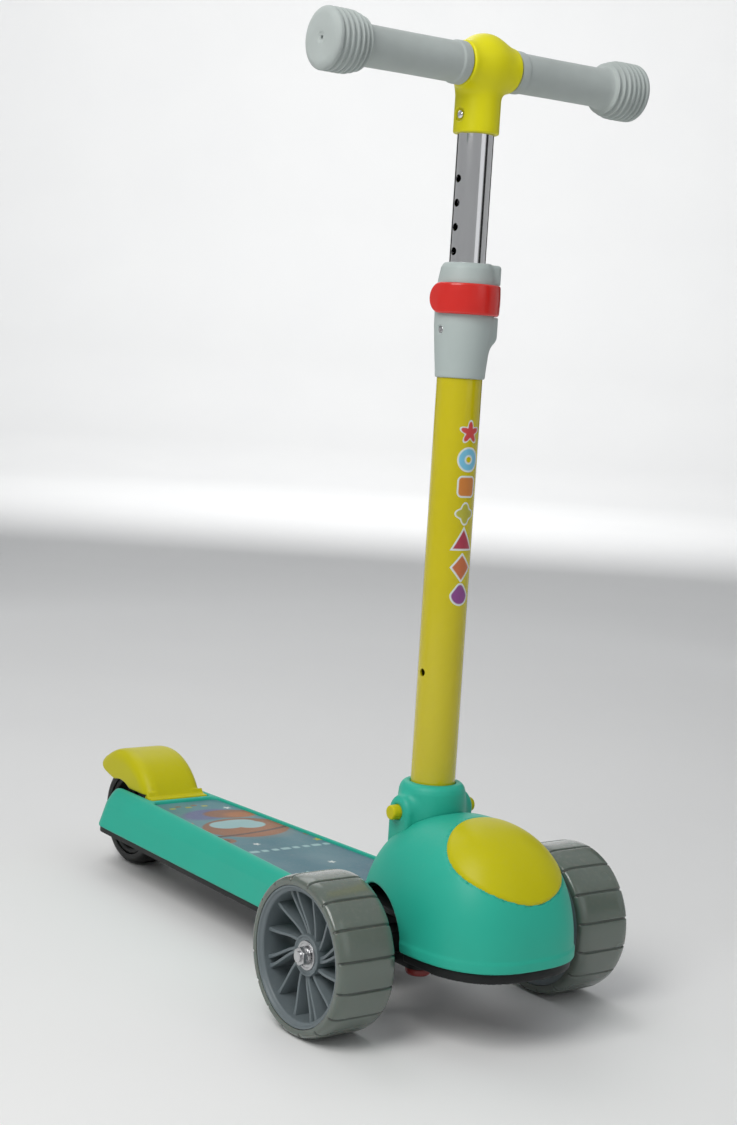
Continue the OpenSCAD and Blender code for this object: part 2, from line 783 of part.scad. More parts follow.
module front_tyre(s) {
    groove_w = 1.6;
    color([0.45, 0.48, 0.46]) on_wheel(s) difference() {
        rotate_extrude() tyre_profile(front_z, rim_r, front_wheel_w, tyre_round);
        for (i = [0 : tread_count - 1]) rotate((i + 0.5) * 360 / tread_count)
            translate([front_z - tread_depth, -groove_w / 2, tyre_round - 2])
                cube([2 * tread_depth, groove_w, front_wheel_w - 2 * tyre_round + 4]);
    }
}

// A shielded ball bearing seen as one ring with a groove in each face
module bearing(bore_r, outer_r, w) {
    shield = 0.6;
    race = (outer_r - bore_r) * 0.24;
    rotate_extrude() polygon([[bore_r, 0], [bore_r + race, 0], [bore_r + race, shield],
        [outer_r - race, shield], [outer_r - race, 0], [outer_r, 0], [outer_r, w],
        [outer_r - race, w], [outer_r - race, w - shield], [bore_r + race, w - shield],
        [bore_r + race, w], [bore_r, w]]);
}

bearing_bore_r = axle_d / 2 + run;

module front_bearings(s) {
    color([0.7, 0.71, 0.72]) on_wheel(s)
        for (z = [bearing_in_y - wheel_in_y, bearing_out_y - wheel_in_y])
            translate([0, 0, z]) bearing(bearing_bore_r, bearing_d / 2, bearing_w);
}

module hub_sleeve(s) {
    from = bearing_in_y - wheel_in_y + bearing_w;
    to = bearing_out_y - wheel_in_y;
    color([0.7, 0.71, 0.72]) on_wheel(s) translate([0, 0, (from + to) / 2])
        tube(spacer_d / 2, bearing_bore_r, to - from);
}

module front_hub_left() { front_hub(1); }
module front_hub_right() { front_hub(-1); }
module front_tyre_left() { front_tyre(1); }
module front_tyre_right() { front_tyre(-1); }
module front_bearings_left() { front_bearings(1); }
module front_bearings_right() { front_bearings(-1); }
module hub_sleeve_left() { hub_sleeve(1); }
module hub_sleeve_right() { hub_sleeve(-1); }

// ---------------------------------------------------------------- rear wheel
rear_half = rear_wheel_w / 2;
rear_hub_half = rear_half - 3;
rear_rim_r = rear_z - rear_tyre_t;
rear_round = 6;

module on_rear_axle() {
    translate([rear_x, 0, rear_z]) rotate([90, 0, 0]) children();
}

module rear_hub() {
    hole_count = 6;
    hole_r = 5;
    ring_r = (hub_r + rear_rim_r - rim_wall) / 2;
    color([0.09, 0.1, 0.1]) on_rear_axle() difference() {
        union() {
            tube(rear_rim_r, rear_rim_r - rim_wall, rear_wheel_w - 4);
            cylinder(r = hub_r, h = 2 * rear_hub_half, center = true);
            cylinder(r = rear_rim_r - rim_wall + 1, h = 8, center = true);
        }
        cylinder(r = spacer_d / 2 + 1.5, h = rear_wheel_w, center = true);
        for (s = sides) translate([0, 0, s * (rear_hub_half - bearing_w / 2 + cut / 2)])
            cylinder(d = bearing_d, h = bearing_w + cut, center = true);
        for (i = [0 : hole_count - 1]) rotate(i * 360 / hole_count) translate([ring_r, 0, 0])
            cylinder(r = hole_r, h = rear_wheel_w, center = true);
    }
}

module rear_tyre() {
    color([0.09, 0.1, 0.1]) on_rear_axle() translate([0, 0, -rear_half])
        rotate_extrude() tyre_profile(rear_z, rear_rim_r, rear_wheel_w, rear_round);
}

module rear_bearings() {
    color([0.7, 0.71, 0.72]) on_rear_axle()
        for (z = [-rear_hub_half, rear_hub_half - bearing_w])
            translate([0, 0, z]) bearing(bearing_bore_r, bearing_d / 2, bearing_w);
}

module rear_hub_sleeve() {
    color([0.7, 0.71, 0.72]) on_rear_axle()
        tube(spacer_d / 2, bearing_bore_r, 2 * (rear_hub_half - bearing_w));
}

bolt_head_t = 5.5;

module rear_axle_bolt() {
    color([0.6, 0.6, 0.62]) on_rear_axle() {
        translate([0, 0, pocket_half]) cylinder(d = axle_nut_d, h = bolt_head_t, $fn = hex);
        translate([0, 0, -pocket_half - pocket_depth + cut])
            cylinder(d = axle_d, h = 2 * pocket_half + pocket_depth);
    }
}

module rear_axle_nut() {
    color([0.6, 0.6, 0.62]) on_rear_axle() translate([0, 0, -pocket_half - axle_nut_t]) difference() {
        cylinder(d = axle_nut_d, h = axle_nut_t, $fn = hex);
        translate([0, 0, -cut]) cylinder(d = axle_d, h = axle_nut_t + 2 * cut);
    }
}

module rear_spacers() {
    from = rear_hub_half + run;
    color([0.6, 0.6, 0.62]) on_rear_axle()
        for (s = sides) translate([0, 0, s * (from + slot_half) / 2])
            tube(spacer_d / 2, axle_d / 2, slot_half - from);
}

// ---------------------------------------------------------------- brake
// Height of the mudguard's front edge over the deck
guard_lift = 2.5;
guard_front_a = asin((deck_top_z + guard_lift - rear_z) / guard_r);
guard_tail_a = 131;
pad_from_a = 78;
pad_to_a = 112;

// Ring sector about the rear axle, angles measured from forward and up
module guard_sector(outer, inner, from_a, to_a) {
    far = 2 * outer;
    mid_a = (from_a + to_a) / 2;
    intersection() {
        difference() {
            circle(r = outer);
            circle(r = inner);
        }
        polygon([[0, 0], [far * cos(from_a), far * sin(from_a)], [far * cos(mid_a), far * sin(mid_a)],
            [far * cos(to_a), far * sin(to_a)]]);
    }
}

// Side wall of the guard: deep at the front, rising to the tail, open below
skirt_from = 12;
skirt_rise = 22;

module guard_side() {
    low = deck_top_z - rear_z + 0.8;
    difference() {
        guard_sector(guard_r, rear_z - 12, guard_front_a, guard_tail_a);
        translate([-guard_r * 2, low - guard_r * 2]) square([guard_r * 4, guard_r * 2]);
        translate([-skirt_from, low]) rotate(-skirt_rise) translate([-guard_r * 2, -guard_r * 2])
            square(guard_r * 2);
    }
}

module fender_brake() {
    arm_w = 12;
    color([0.74, 0.72, 0.12]) difference() {
        union() {
            translate([rear_x, guard_w / 2, rear_z]) rotate([90, 0, 0]) linear_extrude(guard_w) union() {
                guard_sector(guard_r, guard_r - guard_wall, guard_front_a, guard_tail_a);
            }
            for (y = [guard_w / 2, -guard_w / 2 + guard_wall])
                translate([rear_x, y, rear_z]) rotate([90, 0, 0]) linear_extrude(guard_wall) guard_side();
            // Arms that reach down to the hinge pin
            for (y = [guard_w / 2, -guard_w / 2 + arm_w])
                translate([brake_pin_x, y, brake_pin_z]) rotate([90, 0, 0]) {
                    cylinder(r = guard_hub_r, h = arm_w);
                    linear_extrude(arm_w) polygon([[-guard_hub_r, 0], [guard_hub_r, 0],
                        [guard_r * cos(guard_front_a) - (brake_pin_x - rear_x),
                            deck_top_z - brake_pin_z + 2],
                        [(guard_r - guard_wall) * cos(guard_front_a + 2) - (brake_pin_x - rear_x) - 2,
                            deck_top_z - brake_pin_z + 2]]);
                }
        }
        translate([brake_pin_x, 0, brake_pin_z]) rotate([90, 0, 0])
            cylinder(r = brake_pin_d / 2 + run, h = guard_w + 2 * cut, center = true);
    }
}

module brake_pad() {
    pad_w = rear_wheel_w - 8;
    color([0.12, 0.12, 0.12]) translate([rear_x, pad_w / 2, rear_z]) rotate([90, 0, 0])
        linear_extrude(pad_w)
            guard_sector(guard_r - guard_wall, rear_z + pad_gap, pad_from_a, pad_to_a);
}

module brake_pin() {
    color([0.6, 0.6, 0.62]) translate([brake_pin_x, 0, brake_pin_z]) rotate([90, 0, 0])
        cylinder(d = brake_pin_d, h = 2 * (slot_half + brake_pin_seat), center = true);
}

// Torsion spring wound round the hinge pin, drawn as its separate turns
module brake_spring() {
    turns = 6;
    wire_r = 0.9;
    coil_r = brake_pin_d / 2 + wire_r + 0.6;
    pitch = 2.6;
    color([0.75, 0.76, 0.78]) translate([brake_pin_x, -(turns - 1) * pitch / 2, brake_pin_z])
        for (i = [0 : turns - 1]) translate([0, i * pitch, 0]) rotate([90, 0, 0])
            rotate_extrude() translate([coil_r, 0]) circle(r = wire_r, $fn = 24);
}

// ---------------------------------------------------------------- stem
socket_floor = 3;
socket_top_r = socket_r - 2;
foot_r = socket_r - 1.2;
foot_h = 5;
socket_bolt_r = stem_tube_d / 2 + 6;
pocket_r = 8;
pocket_out = stem_tube_d / 2 + 7;
button_reach = stem_tube_d / 2 + button_proud;

module at_socket_bolts() {
    for (a = [60, 120, 240, 300])
        translate([stem_x + socket_bolt_r * cos(a), socket_bolt_r * sin(a), 0]) children();
}

module stem_socket() {
    color([0.18, 0.66, 0.57]) difference() {
        union() {
            translate([stem_x, 0, 0]) rotate_extrude() polygon([
                [0, plate_top_z], [foot_r, plate_top_z], [foot_r, plate_top_z + foot_h],
                [socket_r, plate_top_z + foot_h + 2], [socket_r, button_z - 18],
                [socket_top_r, socket_top_z - 8], [socket_top_r - 0.6, socket_top_z - 3],
                [socket_top_r - 3.5, socket_top_z], [0, socket_top_z]]);
            translate([stem_x, 0, button_z]) rotate([90, 0, 0])
                cylinder(r = ear_half, h = 2 * ear_reach, center = true);
            translate([stem_x - ear_half, -ear_reach, plate_top_z + 22])
                cube([2 * ear_half, 2 * ear_reach, button_z - plate_top_z - 22]);
        }
        translate([stem_x, 0, plate_top_z + socket_floor])
            cylinder(d = stem_tube_d, h = socket_top_z);
        translate([stem_x, 0, button_z]) rotate([90, 0, 0]) {
            cylinder(r = pocket_r, h = 2 * pocket_out, center = true);
            cylinder(r = button_d / 2 + run, h = 2 * ear_reach + 2 * cut, center = true);
        }
        translate([0, 0, plate_top_z - cut]) at_socket_bolts()
            cylinder(d = bolt_d, h = socket_bolt_len - plate_t);
    }
}

socket_bolt_len = 16;

module socket_bolts() {
    color([0.6, 0.6, 0.62]) translate([0, 0, plate_z - bolt_head_h]) at_socket_bolts()
        cross_screw(bolt_d, bolt_head_d, bolt_head_h, socket_bolt_len + bolt_head_h - cut);
}

vent_z = 261;
vent_d = 6;
clamp_screw_z = 523;

module stem_tube() {
    color([0.78, 0.73, 0.02]) translate([stem_x, 0, 0]) difference() {
        translate([0, 0, plate_top_z + socket_floor])
            cylinder(d = stem_tube_d, h = stem_tube_top_z - plate_top_z - socket_floor);
        translate([0, 0, plate_top_z])
            cylinder(r = stem_tube_d / 2 - stem_tube_wall, h = stem_tube_top_z);
        translate([0, 0, button_z]) rotate([90, 0, 0])
            cylinder(r = catch_pin_d / 2 + run, h = stem_tube_d + 2 * cut, center = true);
        translate([0, -stem_tube_d / 2, vent_z]) rotate([90, 0, 0])
            cylinder(d = vent_d, h = stem_tube_d / 2, center = true);
        translate([0, 0, clamp_screw_z]) rotate([90, 0, 0])
            cylinder(d = screw_d, h = stem_tube_d + 2 * cut, center = true);
        pad_block(0);
    }
}

// U-shaped leaf spring that pushes both catch pins outwards
leaf_t = 1;
leaf_w = 10;
leaf_half = 9;
leaf_drop = 34;

module lock_spring() {
    color([0.75, 0.76, 0.78]) translate([stem_x - leaf_w / 2, 0, button_z]) rotate([90, 0, 90])
        linear_extrude(leaf_w) difference() {
            union() {
                translate([-leaf_half, -leaf_drop]) square([2 * leaf_half, leaf_drop + 5]);
                translate([0, -leaf_drop]) circle(r = leaf_half);
            }
            translate([-leaf_half + leaf_t, -leaf_drop]) square([2 * (leaf_half - leaf_t), leaf_drop + 6]);
            translate([0, -leaf_drop]) circle(r = leaf_half - leaf_t);
        }
}

catch_out = stem_tube_d / 2 + 3.9;
flange_in = catch_out + 0.8;

module catch_pin(s) {
    head_t = 1.5;
    color([0.7, 0.71, 0.72]) translate([stem_x, 0, button_z]) rotate([-90 * s, 0, 0]) {
        translate([0, 0, leaf_half]) cylinder(r = catch_pin_d / 2 + 1, h = head_t);
        translate([0, 0, leaf_half]) cylinder(d = catch_pin_d, h = catch_out - leaf_half);
    }
}

module button(s) {
    crown = 1.5;
    color([0.78, 0.74, 0.1]) translate([stem_x, 0, button_z]) rotate([-90 * s, 0, 0]) {
        translate([0, 0, catch_out]) cylinder(d = catch_pin_d - 1, h = 1);
        translate([0, 0, flange_in]) cylinder(r = pocket_r - 0.4, h = pocket_out - gap - flange_in);
        translate([0, 0, flange_in]) cylinder(d = button_d, h = button_reach - crown - flange_in);
        translate([0, 0, button_reach - crown])
            cylinder(d1 = button_d, d2 = button_d - 2 * crown, h = crown);
    }
}

module button_left() { button(1); }
module button_right() { button(-1); }
module catch_pin_left() { catch_pin(1); }
module catch_pin_right() { catch_pin(-1); }

// ---------------------------------------------------------------- height clamp
clamp_r = stem_tube_d / 2 + clamp_wall;
clamp_foot_r = stem_tube_d / 2 + 1.7;
clamp_lip_r = inner_tube_d / 2 + 3.2;
lug_y = clamp_r + 1.1;
lug_front = 9;
lug_rear = 10;
lug_reach = lug_y + 4.6;
lug_z = lever_z - 18;
lever_pin_from = lever_z - 8;
barrel_r = lever_pin_d / 2 + 2.6;
lever_in_r = clamp_r + 0.6;
lever_out_r = lever_in_r + lever_t;
lever_tail = 10;
clamp_head_d = 5.2;
clamp_head_h = 1.4;
clamp_head_in = 2;

// Window for the pad that the lever's barrel presses on the inner tube
module pad_block(clear) {
    pad_h = 9;
    pad_w = 8;
    translate([-pad_w / 2 - clear, inner_tube_d / 2 + gap, lever_z + lever_h / 2 - pad_h / 2 - clear])
        cube([pad_w + 2 * clear, lug_y - barrel_r - gap - inner_tube_d / 2 - gap, pad_h + 2 * clear]);
}

module clamp_body() {
    lower = lever_z - 0.4;
    color([0.64, 0.69, 0.69]) translate([stem_x, 0, 0]) difference() {
        union() {
            rotate_extrude() polygon([[0, clamp_bottom_z], [clamp_foot_r - 1, clamp_bottom_z],
                [clamp_foot_r, clamp_bottom_z + 3], [clamp_r - 1.6, clamp_bottom_z + 22],
                [clamp_r - 0.1, lever_z - 8], [clamp_r, lever_z + lever_h / 2],
                [clamp_r - 1.2, lever_z + lever_h + 2], [clamp_lip_r + 2.4, clamp_top_z - 4],
                [clamp_lip_r, clamp_top_z], [0, clamp_top_z]]);
            difference() {
                translate([-lug_rear, 0, lug_z])
                    cube([lug_rear + lug_front, lug_reach, clamp_top_z - 1 - lug_z]);
                translate([-lug_rear - cut, clamp_r, lug_z - 4]) rotate([40, 0, 0])
                    translate([0, 0, -20]) cube([lug_rear + lug_front + 2 * cut, 30, 20]);
                // Space in which the lever swings
                difference() {
                    translate([-lug_rear + 2, 0, lower])
                        cube([lug_rear + lug_front, lug_reach + cut, lever_h + 0.8]);
                    cylinder(r = clamp_r, h = clamp_top_z);
                }
            }
        }
        translate([0, 0, clamp_bottom_z - cut])
            cylinder(d = stem_tube_d, h = stem_tube_top_z - clamp_bottom_z + cut);
        translate([0, 0, clamp_bottom_z])
            cylinder(r = inner_tube_d / 2 + run, h = clamp_top_z - clamp_bottom_z + cut);
        // Seat for the lever's barrel
        translate([0, lug_y, lower]) cylinder(r = barrel_r + gap, h = lever_h + 0.8);
        translate([0, lug_y, lever_pin_from]) cylinder(d = lever_pin_d, h = clamp_top_z);
        translate([0, 0, clamp_screw_z]) rotate([90, 0, 0]) {
            cylinder(d = screw_d, h = 3 * clamp_r, center = true);
            for (s = sides) translate([0, 0, s * (clamp_r * 2 - clamp_head_in)])
                cylinder(d = clamp_head_d + 0.2, h = 2 * clamp_r, center = true);
        }
        pad_block(0);
    }
}

module clamp_screws() {
    color([0.75, 0.76, 0.78]) translate([stem_x, 0, clamp_screw_z]) for (s = sides)
        rotate([-90 * s, 0, 0]) {
            translate([0, 0, inner_tube_d / 2 + gap])
                cylinder(d = screw_d, h = clamp_r - clamp_head_in - inner_tube_d / 2 - gap);
            translate([0, 0, clamp_r - clamp_head_in]) cylinder(d = clamp_head_d, h = clamp_head_h);
        }
}

module clamp_pad() {
    color([0.1, 0.11, 0.11]) translate([stem_x, 0, 0]) pad_block(0);
}

module clamp_lever() {
    color([0.8, 0.18, 0.17]) translate([stem_x, 0, 0]) difference() {
        intersection() {
            translate([0, 0, lever_z]) linear_extrude(lever_h) union() {
                translate([0, lug_y]) circle(r = barrel_r);
                difference() {
                    circle(r = lever_out_r);
                    circle(r = lever_in_r);
                    translate([-3 * lever_out_r, -2 * lever_out_r])
                        square([3 * lever_out_r, 4 * lever_out_r]);
                }
                translate([-lever_tail, -lever_out_r]) square([lever_tail, lever_t]);
            }
            union() {
                translate([lever_h / 2 - lever_tail, -2 * lever_out_r, 0])
                    cube([3 * lever_out_r, 4 * lever_out_r, 2 * lever_z]);
                translate([lever_h / 2 - lever_tail, 0, lever_z + lever_h / 2]) rotate([90, 0, 0])
                    cylinder(d = lever_h, h = 4 * lever_out_r, center = true);
                translate([-barrel_r, lug_y - barrel_r, 0]) cube([2 * barrel_r, 2 * barrel_r, 2 * lever_z]);
            }
        }
        translate([0, lug_y, 0]) cylinder(r = lever_pin_d / 2 + run, h = 2 * lever_z);
    }
}

module lever_pin() {
    color([0.75, 0.76, 0.78]) translate([stem_x, lug_y, lever_pin_from])
        cylinder(d = lever_pin_d, h = clamp_top_z - lever_pin_from);
}

module tube_bush() {
    bush_from = clamp_bottom_z + 8;
    color([0.1, 0.11, 0.11]) translate([stem_x, 0, 0]) difference() {
        translate([0, 0, (bush_from + stem_tube_top_z) / 2])
            tube(stem_tube_d / 2 - stem_tube_wall, inner_tube_d / 2 + run, stem_tube_top_z - bush_from);
        translate([0, 0, clamp_screw_z]) rotate([90, 0, 0])
            cylinder(d = screw_d, h = stem_tube_d, center = true);
        pad_block(0);
    }
}

// ---------------------------------------------------------------- handlebar
crossbar_r = crossbar_d / 2;
inner_tube_top_z = bar_z - crossbar_r - 2;
index_pitch = 18;
index_d = 6;
index_top_z = t_bottom_z - 34;
index_count = 8;
t_socket_r = inner_tube_d / 2 + 3.4;
t_barrel_r = grip_d / 2 + 2;
// Centre of the round head, measured from the stem's axis and the handlebar's
t_head_dx = 3;
t_head_dz = 2.7;
t_rivet_z = t_bottom_z + 13;
t_rivet_d = 7;
bar_x = stem_x + bar_dx;

module inner_tube() {
    color([0.8, 0.81, 0.83]) translate([stem_x, 0, 0]) difference() {
        translate([0, 0, inner_tube_bottom_z])
            cylinder(d = inner_tube_d, h = inner_tube_top_z - inner_tube_bottom_z);
        translate([0, 0, inner_tube_bottom_z - cut])
            cylinder(r = inner_tube_d / 2 - inner_tube_wall, h = inner_tube_top_z);
        for (i = [0 : index_count - 1])
            translate([0, -inner_tube_d / 2, index_top_z - i * index_pitch]) rotate([90, 0, 0])
                cylinder(d = index_d, h = inner_tube_d / 2, center = true);
        translate([0, 0, t_rivet_z]) rotate([90, 0, 0])
            cylinder(d = screw_d, h = inner_tube_d + 2 * cut, center = true);
    }
}

module t_joint() {
    color([0.76, 0.74, 0.13]) difference() {
        union() {
            translate([stem_x, 0, t_bottom_z]) cylinder(r = t_socket_r, h = bar_z - t_bottom_z);
            translate([stem_x + t_head_dx, 0, bar_z + t_head_dz]) sphere(r = t_head_r);
            translate([bar_x, 0, bar_z]) rotate([90, 0, 0])
                cylinder(r = t_barrel_r, h = 2 * t_half_w, center = true);
        }
        translate([stem_x, 0, t_bottom_z - cut])
            cylinder(d = inner_tube_d, h = inner_tube_top_z - t_bottom_z + cut);
        translate([bar_x, 0, bar_z]) rotate([90, 0, 0])
            cylinder(d = crossbar_d, h = 2 * t_half_w + 2 * cut, center = true);
        translate([stem_x, 0, t_rivet_z]) rotate([90, 0, 0])
            cylinder(d = screw_d, h = 3 * t_socket_r, center = true);
    }
}

module t_rivets() {
    dome = t_rivet_d / 2;
    color([0.75, 0.76, 0.78]) translate([stem_x, 0, t_rivet_z]) for (s = sides)
        rotate([-90 * s, 0, 0]) {
            translate([0, 0, inner_tube_d / 2 - inner_tube_wall - 1])
                cylinder(d = screw_d, h = t_socket_r - inner_tube_d / 2 + inner_tube_wall + 1);
            difference() {
                translate([0, 0, t_socket_r - 1.4]) sphere(r = dome);
                translate([0, 0, -cut]) cylinder(r = t_rivet_d, h = t_socket_r + cut);
            }
        }
}

grip_gap = 0.3;
grip_end_wall = 5;

module crossbar() {
    color([0.75, 0.76, 0.78]) translate([bar_x, 0, bar_z]) rotate([90, 0, 0])
        tube(crossbar_r, crossbar_r - 1.5, bar_len - 2 * grip_end_wall);
}

module grip(s) {
    ring_len = 8;
    ring_up = 1;
    half = bar_len / 2;
    from = t_half_w + grip_gap;
    rib_from = half - grip_end_len;
    rib_len = grip_end_len - 6;
    rib_steps = grip_ribs * 6;
    rib_up = 1.1;
    end_r = grip_end_d / 2;
    profile = concat(
        [[crossbar_r, from], [grip_d / 2 + ring_up, from], [grip_d / 2 + ring_up, from + ring_len],
            [grip_d / 2, from + ring_len + 1], [grip_d / 2, rib_from - 2]],
        [for (i = [0 : rib_steps]) let (t = i / rib_steps)
            [grip_d / 2 + 3 + (end_r - rib_up - grip_d / 2 - 3) * sin(90 * t)
                + rib_up * cos(360 * grip_ribs * t + 180), rib_from + rib_len * t]],
        [[end_r, half - 4], [end_r - 1.2, half - 1.4], [end_r - 4, half], [1.5, half],
            [1.5, half - grip_end_wall], [crossbar_r, half - grip_end_wall]]);
    color([0.65, 0.68, 0.67]) translate([bar_x, 0, bar_z]) rotate([-90 * s, 0, 0])
        rotate_extrude() polygon(profile);
}

module grip_left() { grip(1); }
module grip_right() { grip(-1); }

deck_shell();
deck_mat();
deck_bottom();
deck_screws();
frame_bolts();
nose_base();
nose_cover();
nose_badge();
nose_screws();
kingpin_bolt();
kingpin_nut();
kingpin_washers();
axle_beam();
front_axle();
axle_spacers();
axle_nuts();
steering_bumpers();
front_hub_left();
front_hub_right();
front_tyre_left();
front_tyre_right();
front_bearings_left();
front_bearings_right();
hub_sleeve_left();
hub_sleeve_right();
rear_hub();
rear_tyre();
rear_bearings();
rear_hub_sleeve();
rear_axle_bolt();
rear_axle_nut();
rear_spacers();
fender_brake();
brake_pad();
brake_pin();
brake_spring();
stem_socket();
socket_bolts();
stem_tube();
lock_spring();
button_left();
button_right();
catch_pin_left();
catch_pin_right();
clamp_body();
clamp_screws();
clamp_pad();
clamp_lever();
lever_pin();
tube_bush();
inner_tube();
t_joint();
t_rivets();
crossbar();
grip_left();
grip_right();
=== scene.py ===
"""Kick scooter with two leaning front wheels: its looks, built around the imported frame.

Every length below is in millimetres unless a name or a comment says otherwise, and
becomes metres where a mesh is made. +X is forward, +Y is the rider's left, +Z is up.
"""
import logging
import math
from collections.abc import Callable, Sequence
from dataclasses import dataclass
from enum import Enum

import bmesh
import bpy
import numpy as np
from mathutils import Matrix, Vector


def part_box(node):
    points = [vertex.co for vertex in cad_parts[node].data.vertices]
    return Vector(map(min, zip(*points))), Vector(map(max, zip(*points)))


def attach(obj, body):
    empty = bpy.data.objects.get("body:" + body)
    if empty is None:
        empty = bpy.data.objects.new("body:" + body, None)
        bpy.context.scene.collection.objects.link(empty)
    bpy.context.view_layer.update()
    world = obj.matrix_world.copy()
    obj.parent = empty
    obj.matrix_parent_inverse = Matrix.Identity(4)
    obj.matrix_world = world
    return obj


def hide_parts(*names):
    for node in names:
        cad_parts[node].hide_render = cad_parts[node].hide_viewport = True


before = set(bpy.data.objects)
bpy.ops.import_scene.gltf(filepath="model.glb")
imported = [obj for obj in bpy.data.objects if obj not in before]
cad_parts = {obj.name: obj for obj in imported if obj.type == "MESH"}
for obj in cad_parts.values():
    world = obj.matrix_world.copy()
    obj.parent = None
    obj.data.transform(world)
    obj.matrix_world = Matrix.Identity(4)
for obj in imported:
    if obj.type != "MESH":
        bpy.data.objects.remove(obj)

log = logging.getLogger("kick_scooter")

MM = 0.001
Array = np.ndarray
Shell = tuple[Array, list[list[int]]]
Field = Callable[[Array, Array, Array], Array]
Colour = tuple[float, float, float]
Point = tuple[float, float, float]
Socket = bpy.types.NodeSocket
Tree = bpy.types.NodeTree
Node = bpy.types.Node
Piece = bpy.types.Object


class Body(Enum):
    """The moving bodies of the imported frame."""

    DECK = "deck"
    TRUCK = "truck"
    WHEEL_LEFT = "wheel_front_left"
    WHEEL_RIGHT = "wheel_front_right"
    WHEEL_REAR = "wheel_rear"
    BRAKE = "foot_brake"
    BAR = "handlebar"
    LEVER = "lever"
    RELEASE_LEFT = "release_left"
    RELEASE_RIGHT = "release_right"


class Side(Enum):
    """The rider's two sides, as the sign of Y."""

    LEFT = 1
    RIGHT = -1


# ------------------------------------------------------------------ colours


def shade(red: float, green: float, blue: float) -> Colour:
    """Turns a display colour into the linear one that shaders use.

    Args:
        red: Red, 0 to 255.
        green: Green, 0 to 255.
        blue: Blue, 0 to 255.

    Returns:
        The colour as three linear numbers.
    """
    out = []
    for value in (red, green, blue):
        s = value / 255.0
        out.append(s / 12.92 if s <= 0.04045 else ((s + 0.055) / 1.055) ** 2.4)
    return (out[0], out[1], out[2])


def scaled(colour: Colour, by: float) -> Colour:
    """Returns the colour made lighter or darker by a factor."""
    return (min(colour[0] * by, 1.0), min(colour[1] * by, 1.0), min(colour[2] * by, 1.0))


def rgba(colour: Colour) -> tuple[float, float, float, float]:
    """Returns the colour with a full alpha."""
    return (colour[0], colour[1], colour[2], 1.0)


# ------------------------------------------------------------------ solid fields


def union(a: Array, b: Array, r: float = 0.0) -> Array:
    """Joins two solids, with a hollow fillet of about r where they meet.

    Args:
        a: Signed distances to the first solid, negative inside.
        b: Signed distances to the second solid.
        r: Width of the fillet.

    Returns:
        Signed distances to both together.
    """
    if r <= 0:
        return np.minimum(a, b)
    h = np.maximum(r - np.abs(a - b), 0.0)
    return np.minimum(a, b) - h * h / (4 * r)


def both(a: Array, b: Array, r: float = 0.0) -> Array:
    """Keeps what two solids share, with the new edge rounded by about r.

    Args:
        a: Signed distances to the first solid, negative inside.
        b: Signed distances to the second solid.
        r: Width of the rounding.

    Returns:
        Signed distances to the shared part.
    """
    if r <= 0:
        return np.maximum(a, b)
    h = np.maximum(r - np.abs(a - b), 0.0)
    return np.maximum(a, b) + h * h / (4 * r)


def carve(a: Array, b: Array, r: float = 0.0) -> Array:
    """Removes solid b from solid a, with the new edge rounded by about r."""
    return both(a, -b, r)


def span(x: Array, low: float, high: float) -> Array:
    """Signed distance to the layer between two parallel planes."""
    return np.maximum(low - x, x - high)


def disc(x: Array, y: Array, r: float) -> Array:
    """Signed distance to a circle about the origin."""
    return np.hypot(x, y) - r


def plate(x: Array, y: Array, half_x: float, half_y: float, r: float) -> Array:
    """Signed distance to a rectangle with rounded corners.

    Args:
        x: First coordinate from the middle.
        y: Second coordinate from the middle.
        half_x: Half of the first side.
        half_y: Half of the second side.
        r: Corner radius.

    Returns:
        Signed distances in the plane.
    """
    qx, qy = np.abs(x) - half_x + r, np.abs(y) - half_y + r
    return np.hypot(np.maximum(qx, 0), np.maximum(qy, 0)) + np.minimum(np.maximum(qx, qy), 0) - r


def tapered_plate(x: Array, y: Array, rear: tuple[Array, Array], front: tuple[Array, Array],
                  r: float) -> Array:
    """Signed distance to a long plate whose half width changes from rear to front.

    Args:
        x: Coordinate along the plate.
        y: Coordinate across it.
        rear: Place and half width of the rear corners' centres.
        front: Place and half width of the front corners' centres.
        r: Corner radius.

    Returns:
        Signed distances in the plane.
    """
    ay, (xr, yr), (xf, yf) = np.abs(y), rear, front
    dx, dy = xf - xr, yf - yr
    length = np.hypot(dx, dy)
    side = ((x - xr) * -dy + (ay - yr) * dx) / length
    t = np.clip(((x - xr) * dx + (ay - yr) * dy) / length**2, 0, 1)
    out = np.minimum(np.hypot(x - xr - t * dx, ay - yr - t * dy), np.minimum(
        np.hypot(x - xr, np.maximum(ay - yr, 0)), np.hypot(x - xf, np.maximum(ay - yf, 0))))
    inside = np.maximum(side, np.maximum(xr - x, x - xf))
    return np.where(inside <= 0, inside, out) - r


EDGES = [(0, 1), (2, 3), (4, 5), (6, 7), (0, 2), (1, 3), (4, 6), (5, 7), (0, 4), (1, 5), (2, 6), (3, 7)]
CORNERS = np.array([[i >> 2 & 1, i >> 1 & 1, i & 1] for i in range(8)])


def gradient(solid: Field, p: Array, step: float = 0.02) -> Array:
    """Slope of a field at each point, by central differences.

    Args:
        solid: The field.
        p: The points, one a row.
        step: Half the spacing, in mm.

    Returns:
        One slope a point.
    """
    out = np.empty_like(p)
    for k in range(3):
        hi, lo = p.copy(), p.copy()
        hi[:, k] += step
        lo[:, k] -= step
        out[:, k] = (solid(*hi.T) - solid(*lo.T)) / (2 * step)
    return out


